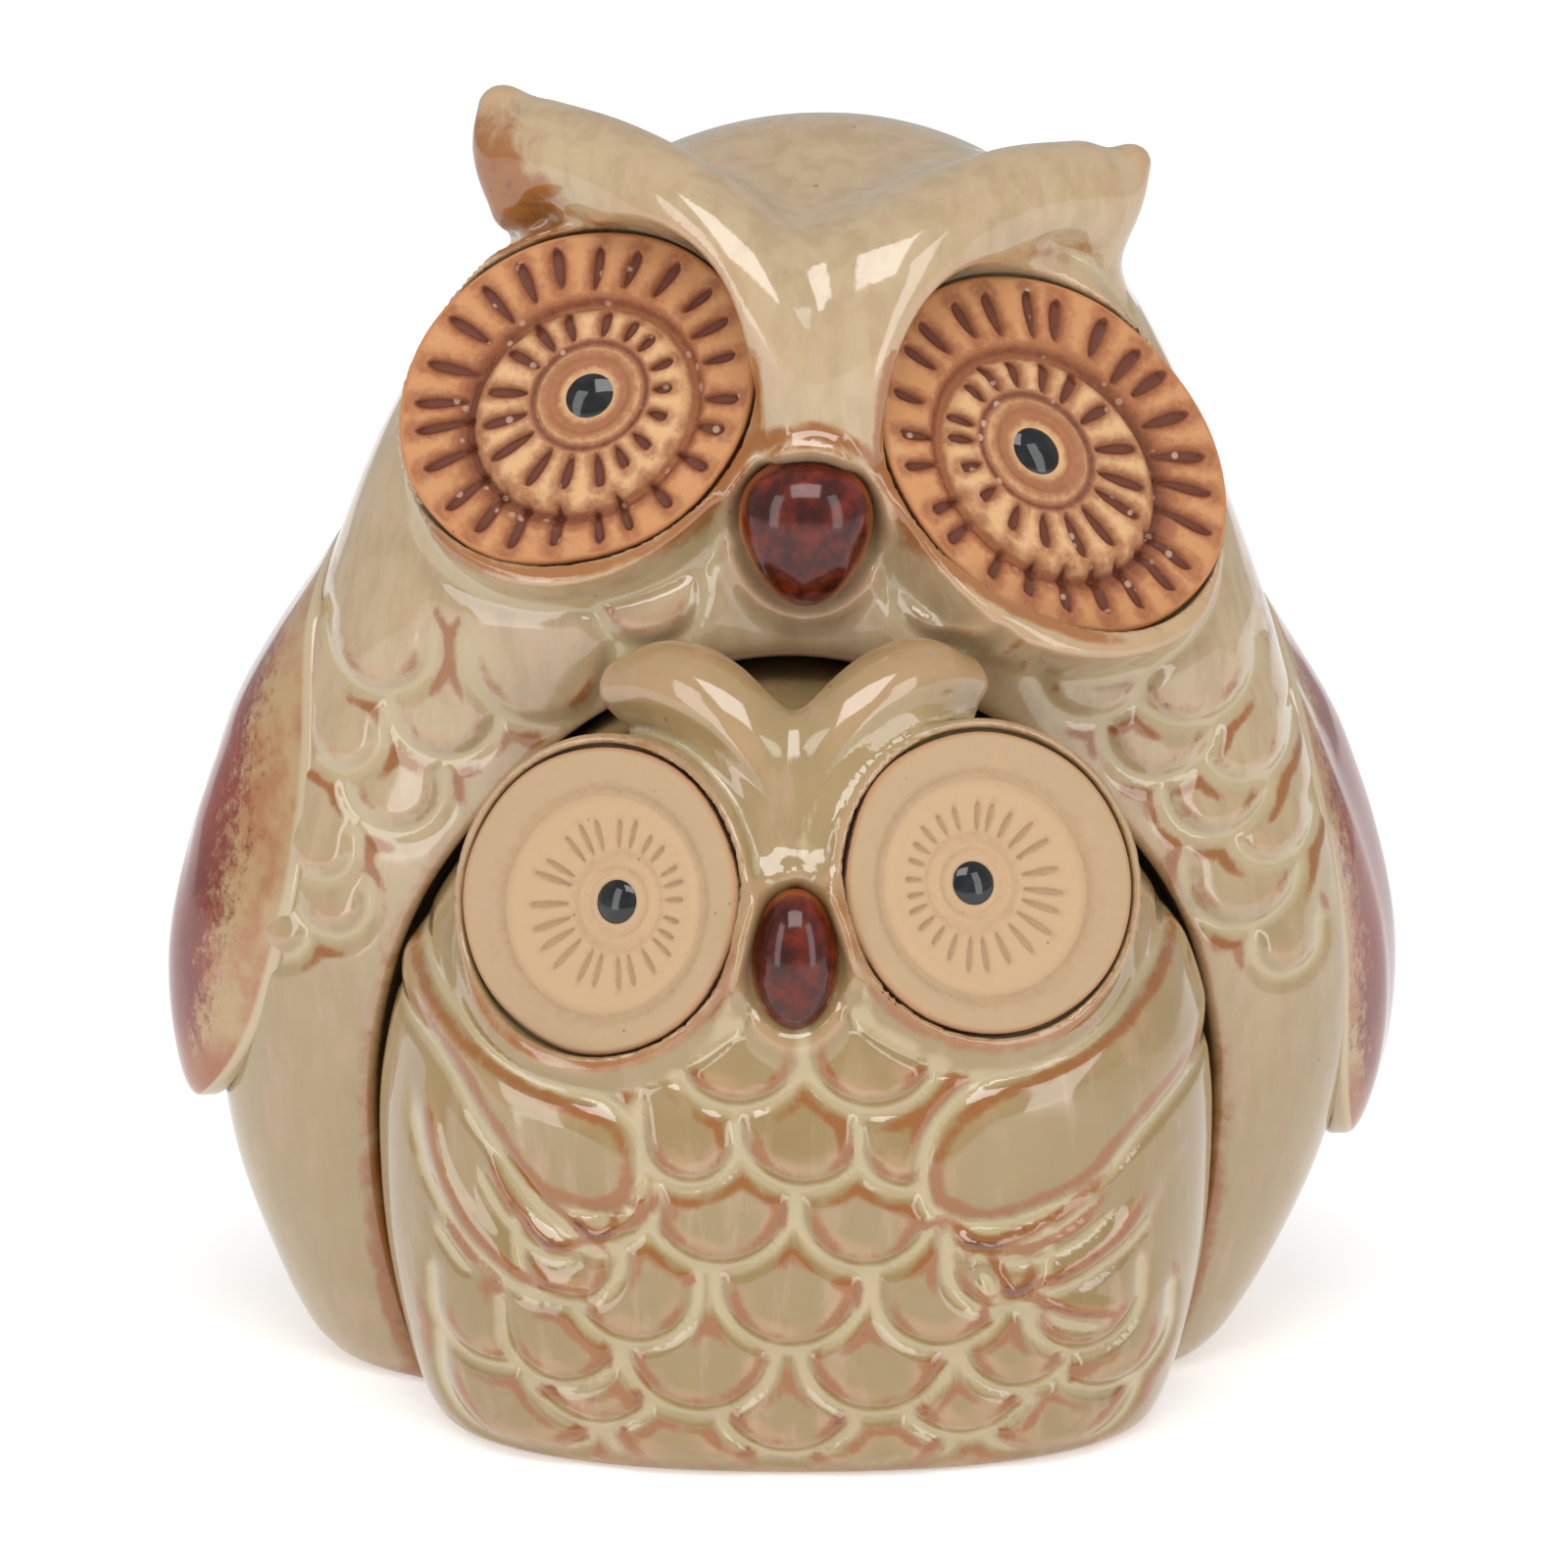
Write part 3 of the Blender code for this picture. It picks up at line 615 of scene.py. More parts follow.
def sample_field(field, low, high, step):
    """The field on a grid. It is worked out exactly only near the skin, and roughly elsewhere."""
    coarse = 4 * step
    counts = np.ceil((high - low) / coarse).astype(int) + 1
    axes = [low[k] + coarse * np.arange(counts[k]) for k in range(3)]
    grid = np.stack(np.meshgrid(*axes, indexing="ij"), -1).reshape(-1, 3)
    values = field(grid).reshape(counts)
    for axis in range(3):
        first = np.moveaxis(values, axis, 0)
        fine = np.empty((4 * (len(first) - 1) + 1, *first.shape[1:]), np.float32)
        for k in range(4):
            fine[k::4][: len(first) - 1] = first[:-1] * (1 - k / 4) + first[1:] * (k / 4)
        fine[-1] = first[-1]
        values = np.moveaxis(fine, 0, axis)
    near = np.argwhere(np.abs(values) < max(2.2, 2.2 * step))
    values[tuple(near.T)] = field(low + step * near)
    return values


def surface_net(values, low, step):
    """Points and quads on the zero level of a grid of values. Quads face outwards."""
    shape = np.array(values.shape)
    inside = values < 0
    units = np.eye(3, dtype=int)
    cells, places = [], []
    strides = np.array([shape[1] * shape[2], shape[2], 1])
    for axis in range(3):
        a, b = [slice(None)] * 3, [slice(None)] * 3
        a[axis], b[axis] = slice(0, -1), slice(1, None)
        index = np.argwhere(inside[tuple(a)] != inside[tuple(b)])
        start = values[tuple(index.T)]
        end = values[tuple((index + units[axis]).T)]
        share = (start / (start - end))[:, None]
        places.append(np.repeat(low + step * (index + share * units[axis]), 4, axis=0))
        second, third = units[(axis + 1) % 3], units[(axis + 2) % 3]
        around = np.stack([index, index - second, index - second - third, index - third], 1)
        flip = start > 0
        around[flip] = around[flip][:, ::-1]
        cells.append((around @ strides).reshape(-1))
    cells, places = np.concatenate(cells), np.concatenate(places)
    _, which = np.unique(cells, return_inverse=True)
    which = which.reshape(-1)
    count = np.bincount(which)
    points = np.stack([np.bincount(which, weights=places[:, k]) / count for k in range(3)], 1)
    return points, which.reshape(-1, 4)


def new_mesh(name, points, faces):
    """A mesh from points in millimetres and faces that all have the same number of corners."""
    mesh = bpy.data.meshes.new(name)
    mesh.vertices.add(len(points))
    mesh.vertices.foreach_set("co", (points * MM).astype(np.float32).ravel())
    mesh.loops.add(faces.size)
    mesh.loops.foreach_set("vertex_index", faces.astype(np.int32).ravel())
    mesh.polygons.add(len(faces))
    mesh.polygons.foreach_set("loop_start", np.arange(0, faces.size, faces.shape[1], dtype=np.int32))
    mesh.update(calc_edges=True)
    mesh.validate()
    mesh.shade_smooth()
    return mesh


def new_object(name, data, look=None):
    thing = bpy.data.objects.new(name, data)
    bpy.context.scene.collection.objects.link(thing)
    if look is not None:
        data.materials.append(look)
    return thing


def points_of(mesh):
    co = np.empty(len(mesh.vertices) * 3, np.float32)
    mesh.vertices.foreach_get("co", co)
    return co.reshape(-1, 3).astype(float) / MM


def store(mesh, name, values):
    attribute = mesh.attributes.new(name, "FLOAT", "POINT")
    attribute.data.foreach_set("value", np.asarray(values, np.float32))


def bend_of(field, points, normals, reach):
    """How the skin bends over a short reach: positive on an edge, negative in a groove."""
    side = np.cross(normals, (0.31, 0.53, 0.79))
    side /= np.linalg.norm(side, axis=1)[:, None]
    other = np.cross(normals, side)
    total = 0
    for way in (side + other, side - other, -side + other, -side - other):
        total = total + field(points + reach * 0.7071 * way)
    return total / (4 * reach)


def skin_object(name, field, low, high):
    """The owl's skin as a mesh, with its bends stored on its points, and those points."""
    values = sample_field(field, low, high, STEP)
    points, quads = surface_net(values, low, STEP)
    points = onto_skin(field, points, 1)
    mesh = new_mesh(name, points, quads)
    thing = new_object(name, mesh)
    triangles = 2 * len(mesh.polygons)
    if triangles > MOST_TRIANGLES:
        step = thing.modifiers.new("fewer", "DECIMATE")
        step.ratio = MOST_TRIANGLES / triangles
        step.use_collapse_triangulate = True
        graph = bpy.context.evaluated_depsgraph_get()
        fewer = bpy.data.meshes.new_from_object(thing.evaluated_get(graph))
        thing.modifiers.clear()
        thing.data = fewer
        bpy.data.meshes.remove(mesh)
        mesh = fewer
        mesh.name = name
    points = onto_skin(field, points_of(mesh), 2)
    mesh.vertices.foreach_set("co", (points * MM).astype(np.float32).ravel())
    mesh.update()
    normals = slope_of(field, points, 0.2)
    normals /= np.maximum(np.linalg.norm(normals, axis=1), 1e-6)[:, None]
    mesh.normals_split_custom_set_from_vertices(normals.astype(np.float32))
    store(mesh, "bend", bend_of(field, points, normals, 0.8))
    store(mesh, "swell", bend_of(field, points, normals, 2.6))
    return thing, points


# ---------------- materials


def colour(red, green, blue):
    """A colour given as it looks on a screen, 0 to 255, as the linear light that Blender works in."""
    return (*(((c / 255 + 0.055) / 1.055) ** 2.4 for c in (red, green, blue)), 1.0)


class Shader:
    """Builds a material's nodes. Every method that gives a value returns a socket."""

    def __init__(self, name, **settings):
        self.material = bpy.data.materials.new(name)
        self.material.use_nodes = True
        self.tree = self.material.node_tree
        self.main = self.tree.nodes["Principled BSDF"]
        for socket, value in settings.items():
            self.main.inputs[socket.replace("_", " ")].default_value = value
        self.place = self.tree.nodes.new("ShaderNodeTexCoord").outputs["Object"]

    def put(self, socket, value):
        if isinstance(value, bpy.types.NodeSocket):
            self.tree.links.new(value, socket)
        else:
            socket.default_value = value

    def node(self, kind, inputs, output=0, **settings):
        """Adds a node with its settings and its inputs, which are sockets or plain values."""
        node = self.tree.nodes.new("ShaderNode" + kind)
        for name, value in settings.items():
            setattr(node, name, value)
        for name, value in inputs.items():
            self.put(node.inputs[name], value)
        return node.outputs[output]

    def math(self, operation, a, b):
        return self.node("Math", {0: a, 1: b}, operation=operation)

    def add(self, a, b):
        return self.math("ADD", a, b)

    def times(self, a, b):
        return self.math("MULTIPLY", a, b)

    def around(self, value, size):
        """Noise about 0.5 moved to lie about 0, and scaled by size."""
        return self.times(self.math("SUBTRACT", value, 0.5), size)

    def attribute(self, name):
        return self.node("Attribute", {}, "Fac", attribute_name=name)

    def noise(self, size, detail=3.0, rough=0.55, distortion=0.0, stretch=(1, 1, 1)):
        """Noise about 0.5, with features of about size millimetres."""
        where = self.node("Mapping", {"Vector": self.place, "Scale": stretch})
        looks = {"Detail": detail, "Roughness": rough, "Distortion": distortion}
        return self.node("TexNoise", {"Vector": where, "Scale": 1 / (size * MM), **looks}, "Fac")

    def cells(self, size):
        return self.node("TexVoronoi", {"Vector": self.place, "Scale": 1 / (size * MM)}, "Distance")

    def step(self, value, low, high, out_low=0.0, out_high=1.0):
        """Goes smoothly from one output to the other as the value goes from low to high."""
        ends = {"From Min": low, "From Max": high, "To Min": out_low, "To Max": out_high}
        return self.node("MapRange", {"Value": value, **ends}, "Result", interpolation_type="SMOOTHSTEP")

    def specks(self, size, low, high, most):
        """Small dots, about size millimetres apart."""
        return self.step(self.cells(size), low, high, 0, most)

    def mix(self, share, a, b):
        return self.node("Mix", {0: share, 6: a, 7: b}, 2, data_type="RGBA")

    def bump(self, height, depth):
        return self.node("Bump", {"Strength": 1.0, "Distance": depth * MM, "Height": height}, "Normal")

    def finish(self, base, rough, normal=None):
        """Joins colour, roughness and bump to the surface, and gives the material."""
        self.put(self.main.inputs["Base Color"], base)
        self.put(self.main.inputs["Roughness"], rough)
        if normal is not None:
            self.tree.links.new(normal, self.main.inputs["Normal"])
        return self.material


def glaze_material(name, tan, olive):
    """Thick glossy glaze: pale where it pools, rust and dark brown where it thins, streaked on the flats. Its
    rust brown is also painted as shade under the brows and in the adult's niche.
    """
    s = Shader(name, IOR=1.55, Specular_IOR_Level=0.8)
    bend, swell, line = s.attribute("bend"), s.attribute("swell"), s.attribute("line")
    cloud = s.around(s.noise(14, 3, 0.6), 1.2)
    base = s.mix(s.step(s.add(s.attribute("low"), cloud), 0.1, 0.9), tan, olive)
    streak = s.noise(5, 4, 0.6, 0.4, stretch=(1.6, 1.6, 0.45))
    base = s.mix(s.step(streak, 0.50, 0.70, 0, 0.42), base, colour(182, 150, 124))
    shade = s.step(s.noise(2.6, 4, 0.6, 0.3, stretch=(1, 1, 0.4)), 0.38, 0.68, 0, 0.42)
    base = s.mix(shade, base, colour(150, 124, 86))
    ridge = s.step(s.add(swell, s.around(s.noise(6, 3), 0.12)), 0.10, 0.24, 0, 0.42)
    base = s.mix(ridge, base, colour(184, 142, 106))
    pool = s.math("MAXIMUM", line, s.step(s.times(bend, -1.0), 0.03, 0.20))
    pool = s.math("MAXIMUM", pool, s.step(s.times(swell, -1.0), 0.03, 0.22, 0, 0.7))
    pooled = s.step(s.add(pool, s.around(s.noise(2.0, 3), 0.3)), 0.12, 0.85, 0, 0.95)
    base = s.mix(pooled, base, colour(180, 161, 123))
    amber = s.step(s.add(s.attribute("amber"), s.around(s.noise(2.4, 3), 0.7)), 0.45, 0.9, 0, 0.9)
    base = s.mix(amber, base, colour(150, 92, 40))
    rust = s.times(s.attribute("crest"), 0.95)
    # The rust attribute also holds painted shade: rust brown under the brows and along the adult's niche.
    rust = s.add(rust, s.times(s.attribute("rust"), 0.85))
    rust = s.add(rust, s.step(bend, 0.12, 0.32, 0, 0.35))
    rust = s.add(rust, s.around(s.noise(3.0, 5, 0.62, 0.5), 0.9))
    base = s.mix(s.step(rust, 0.29, 0.68, 0, 0.92), base, colour(143, 84, 26))
    deep = s.add(rust, s.around(s.noise(1.0, 4, 0.65), 0.6))
    base = s.mix(s.step(deep, 0.78, 1.15, 0, 0.75), base, colour(96, 46, 20))
    red = s.add(s.attribute("wash"), s.around(s.noise(2.2, 6, 0.75), 1.5))
    base = s.mix(s.step(red, 0.35, 0.75), base, colour(124, 58, 44))
    base = s.mix(s.specks(7.5, 0.040, 0.025, 0.45), base, colour(90, 56, 40))
    wave = s.bump(s.noise(9, 2, 0.4), 0.10)
    return s.finish(base, s.step(s.noise(1.5, 3), 0.3, 0.75, 0.06, 0.12), wave)


def bisque_material(name, band, cream, stain, strength):
    """Bare fired clay, with stain rubbed into its tool marks."""
    s = Shader(name, IOR=1.45, Specular_IOR_Level=0.35)
    mark, rim = s.attribute("mark"), s.attribute("rim")
    cloud = s.noise(5.5, 4, 0.6)
    base = s.mix(s.step(s.add(s.attribute("inner"), s.around(cloud, 0.9)), 0.25, 0.75), band, cream)
    base = s.mix(s.step(s.noise(3.0, 5, 0.65), 0.5, 0.75, 0, 0.4), base, cream)
    base = s.mix(s.step(rim, 0.5, 1.0, 0, 0.35), base, colour(180, 108, 62))
    fuzz = s.around(s.noise(0.9, 5, 0.7), 0.75)
    stained = s.add(mark, fuzz)
    base = s.mix(s.step(stained, 0.10, 0.62, 0, 0.85 * strength), base, stain)
    core = s.add(mark, s.times(fuzz, 0.5))
    base = s.mix(s.step(core, 0.60, 0.95, 0, strength), base, colour(98, 50, 33))
    # Painted shade: the disc's lowest edge rings go dark brown, as shade in the gap where the disc drops into
    # its bed.
    seam_shade = s.step(s.add(rim, s.times(fuzz, 0.6)), 1.10, 1.45, 0, 0.9)
    base = s.mix(seam_shade, base, colour(66, 36, 30))
    base = s.mix(s.specks(3.2, 0.055, 0.035, 0.5), base, colour(96, 62, 48))
    beads = s.times(s.step(s.cells(1.9), 0.22, 0.14), s.step(mark, 0.55, 0.85))
    base = s.mix(s.times(beads, 0.75 * strength), base, colour(196, 164, 142))
    grainy = s.bump(s.noise(0.5, 3, 0.6), 0.06)
    return s.finish(base, s.step(stained, 0.5, 0.9, 0.74, 0.5), grainy)


def red_glaze():
    """The wings' glossy red, brushed on thinly over tan, with a rusty tip and pale front edge."""
    s = Shader("wing_glaze", IOR=1.55, Specular_IOR_Level=0.8)
    fine = s.around(s.noise(1.1, 8, 0.8, 0.3, stretch=(1, 1, 0.8)), 1.9)
    red = s.mix(s.step(s.noise(9, 4, 0.6), 0.35, 0.7), colour(128, 42, 24), colour(102, 32, 18))
    red = s.mix(s.step(s.noise(1.3, 5, 0.7), 0.55, 0.75, 0, 0.5), red, colour(140, 68, 44))
    tan = s.mix(s.step(s.noise(4, 3), 0.35, 0.7), colour(172, 142, 100), colour(160, 108, 66))
    base = s.mix(s.step(s.add(s.attribute("wash"), fine), 0.26, 0.72), tan, red)
    tip = s.step(s.add(s.attribute("low"), s.times(fine, 0.4)), 0.35, 0.9, 0, 0.9)
    base = s.mix(tip, base, colour(148, 84, 46))
    base = s.mix(s.step(s.attribute("front"), 0.35, 0.9, 0, 0.9), base, colour(186, 168, 136))
    grooved = s.step(s.times(s.attribute("bend"), -1.0), 0.04, 0.2, 0, 0.6)
    base = s.mix(grooved, base, colour(160, 108, 84))
    wave = s.bump(s.noise(8, 2, 0.4), 0.10)
    return s.finish(base, 0.09, wave)


def beak_glaze():
    s = Shader("beak_glaze", IOR=1.5, Specular_IOR_Level=0.45)
    rim, foot = s.attribute("rim"), s.attribute("foot")
    mottle = s.noise(2.4, 4, 0.6)
    base = s.mix(s.step(mottle, 0.35, 0.75), colour(52, 13, 8), colour(112, 34, 15))
    amber = s.add(rim, s.around(mottle, 0.5))
    base = s.mix(s.step(amber, 0.35, 0.95), base, colour(140, 68, 24))
    cloudy = s.step(s.add(foot, s.around(mottle, 0.8)), 0.6, 1.0, 0, 0.3)
    base = s.mix(cloudy, base, colour(120, 88, 84))
    return s.finish(base, s.step(mottle, 0.3, 0.8, 0.10, 0.16), s.bump(s.noise(5, 2, 0.4), 0.05))


def pupil_glaze():
    s = Shader("pupil_glaze", IOR=1.5, Specular_IOR_Level=0.6)
    base = s.mix(s.step(s.noise(1.4, 3), 0.4, 0.8), colour(10, 11, 13), colour(34, 36, 40))
    return s.finish(base, 0.07, s.bump(s.noise(2.5, 2), 0.02))


# ---------------- pieces


def take(thing, body, slot, node):
    """Ties a piece to its body and hides the CAD node that it stands for. slot, its material slot, is not
    used.
    """
    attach(thing, body)
    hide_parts(node)


def spot(points, centre, radius):
    """1 at a place, and nearly 0 at twice the radius from it."""
    return np.exp(-(((points - centre) / radius) ** 2).sum(1))


def paint_eyes(owl, points, amber_side):
    """Amber glaze caught along one side of each disc's bed."""
    amber = np.zeros(len(points))
    for eye, (side_x, side_y) in zip(owl.eyes, amber_side, strict=True):
        local = eye.local(points)
        r, c = eye.ring(points)
        toward = (local[:, 0] * side_x + local[:, 1] * side_y) / np.maximum(r, 1) / math.hypot(side_x, side_y)
        band = bell(r - eye.radius - 0.7, 1.0) * (np.abs(c) < 5)
        amber = np.maximum(amber, band * smoothstep(toward, -0.1, 0.5))
    return amber


def paint_relief(thing, owl, points):
    x, y, z = points.T
    front = smoothstep(owl.seam - y, *SEAM_FADE)
    clear = smoothstep(z, *FOOT_FADE)
    for eye in owl.eyes:
        r, _ = eye.ring(points)
        clear *= smoothstep(r - eye.radius, *DISC_FADE)
    niche = owl.niche(x, y, z)
    outside = 1.0 if niche is None else smoothstep(niche, 0.4, 2.0)
    for name in ("line", "crest"):
        value = front * clear * owl.front.sample(getattr(owl.front, name), x, z)
        if owl.back is not None:
            value += (1 - front) * owl.back.sample(getattr(owl.back, name), x, z)
        store(thing.data, name, value * outside)


def finish_skin(thing, owl, points, rust, amber, low, wash, look, body):
    for name, values in (("rust", np.clip(rust, 0, 1)), ("amber", amber), ("low", low), ("wash", wash)):
        store(thing.data, name, values)
    paint_relief(thing, owl, points)
    thing.data.materials.append(look)
    take(thing, body, "cream_glaze", f"{body}_body")


def make_skins():
    low = cad_low / MM - 3.0
    high = cad_high / MM + 3.0
    low[2] = -1.6
    thing, p = skin_object("adult_skin", ADULT, low, high)
    x, y, z = p.T
    niche = np.abs(ADULT.niche(x, y, z))
    # Rust brown along the niche's rim and down its inner walls, stronger lower down: rust where the glaze
    # thins on the rim, and painted shade in the gap behind the small owl.
    niche_rust_and_shade = smoothstep(niche, 3.8, 0.6) * (0.40 + 0.35 * smoothstep(z, 50, 4)) * smoothstep(z, 76, 66)
    niche_rust_and_shade *= smoothstep(-ADULT.form.distance(x, y, z), 8.0, 2.0)
    rust = 0.9 * spot(p, (-25.5, -8, 114.0), (7, 9, 3.2)) + 0.85 * spot(p, (-27, -5, 118), (5, 8, 6.5))
    # Rust brown lines under the brows' lower edges: rust where the glaze thins on the edge, and painted shade
    # under each brow's overhang.
    rust += 0.55 * spot(p, (-17, -13, 111.4), (9, 8, 1.8)) + 0.60 * spot(p, (26, -11, 109.6), (8, 8, 1.6))
    rust += 0.4 * smoothstep(z, 2.5, 0.5) + 0.5 * spot(p, (-34, -14, 8), (6, 9, 9))
    rust += 0.5 * spot(p, (36, -14, 10), (5, 9, 12))
    arc = bell(around_beak(ADULT_BEAK, x, z, 2.6), 0.7) * (y < -10) * smoothstep(z, 84, 92)
    rust = rust + niche_rust_and_shade + 0.9 * arc
    amber = paint_eyes(ADULT, p, ((0.5, -1.0), (-1.0, -0.35)))
    side = np.abs(x - 0.5) / 47
    wash = 0.75 * smoothstep(side, 0.80, 1.0) * smoothstep(z, 60, 76) * smoothstep(z, 92, 80)
    wash *= smoothstep(y, -12, 6)
    look = glaze_material("adult_glaze", colour(180, 157, 123), colour(157, 136, 98))
    finish_skin(thing, ADULT, p, rust, amber, smoothstep(z, 75, 15), wash, look, "adult")

    low = np.array([-42.0, -49.0, -1.6])
    high = np.array([44.0, 17.0, 81.0])
    thing, p = skin_object("baby_skin", BABY, low, high)
    z = p[:, 2]
    # Rust along the foot. The spots are rust brown lines under the brows' lower edges: rust where the glaze
    # thins on the edge, and painted shade under each brow's overhang.
    rust = 0.45 * smoothstep(z, 3.0, 0.5) + 0.6 * spot(p, (-12.5, -31, 66.4), (6, 6, 1.5))
    rust += 0.5 * spot(p, (13.8, -31, 67.0), (6, 6, 1.5))
    amber = 0.8 * paint_eyes(BABY, p, ((0.2, -1.0), (-0.4, -1.0)))
    look = glaze_material("baby_glaze", colour(156, 132, 90), colour(143, 119, 73))
    finish_skin(thing, BABY, p, rust, amber, smoothstep(z, 62, 12), np.zeros(len(p)), look, "baby")


def band_quads(index, flip=False):
    """Quads between the rows of a grid of point numbers that closes sideways. flip turns them over."""
    inner, outer = index[:-1], index[1:]
    corners = [inner, outer, np.roll(outer, -1, 1), np.roll(inner, -1, 1)]
    if flip:
        corners = [corners[k] for k in (0, 3, 2, 1)]
    return np.stack(corners, -1).reshape(-1, 4)


def polar_sheet(radii, around, height):
    """Points and quads of a round sheet. height gives local z from x and y, and the last ring is its edge."""
    angle = np.linspace(0, 2 * math.pi, around, endpoint=False)
    r, a = np.meshgrid(radii, angle, indexing="ij")
    x, y = (r * np.cos(a)).ravel(), (r * np.sin(a)).ravel()
    index = np.arange(len(radii) * around).reshape(-1, around)
    return np.stack([x, y, height(x, y)], 1), band_quads(index)


# How a disc is carved. Its middle is a raised plateau with a trench round it, whose size and place are shares
# of the disc's radius. stroke_depth, plateau_rise and trench_depth are in millimetres. The width, the stains
# and socket_depth are factors.
Carving = namedtuple(
    "Carving",
    "outer_strokes inner_strokes inner_width stroke_depth socket_depth ring_stain stroke_stain "
    "plateau_size plateau_x plateau_y plateau_rise trench_depth",
)
# The carved sheet ends this far inside the disc's edge. The rings of the rounded edge follow: how far in and
# how far down each one is, and its rim value, which tints the edge orange and, past about 1.1, paints it dark
# brown as painted shade where the disc drops into its bed.
EDGE_INSET = 0.55
EDGE_RINGS = ((0.30, 0.08, 1.0), (0.10, 0.30, 1.15), (0.0, 0.75, 1.5), (0.0, DISC_DEPTH - 0.2, 1.6))


def disc_marks(eye, carving, wobble):
    """The strokes cut with a tool: the x they fan out from, their angle, start, end and width."""
    R = eye.radius
    marks = []
    for k in range(carving.outer_strokes):
        a = 2 * math.pi * (k + wobble.uniform(-0.16, 0.16)) / carving.outer_strokes
        lean = 0.5 + 0.5 * math.cos(a - math.atan2(-0.15, eye.outward))
        end = R * (0.90 + wobble.uniform(-0.02, 0.02))
        length = R * (0.20 + 0.11 * lean + wobble.uniform(-0.02, 0.03))
        width = R * (0.046 + 0.010 * lean + wobble.uniform(-0.006, 0.008))
        marks.append((0.0, a, end - length, end, width))
    for k in range(carving.inner_strokes):
        a = 2 * math.pi * (k + wobble.uniform(-0.2, 0.2)) / carving.inner_strokes + 0.1
        lean = 0.5 + 0.5 * math.cos(a - math.atan2(-0.35, eye.outward))
        start = R * 0.34
        length = R * (0.12 + 0.14 * lean + wobble.uniform(-0.015, 0.03))
        width = R * carving.inner_width * (0.040 + 0.010 * lean)
        marks.append((eye.pupil_shift, a, start, start + length, width))
    return marks


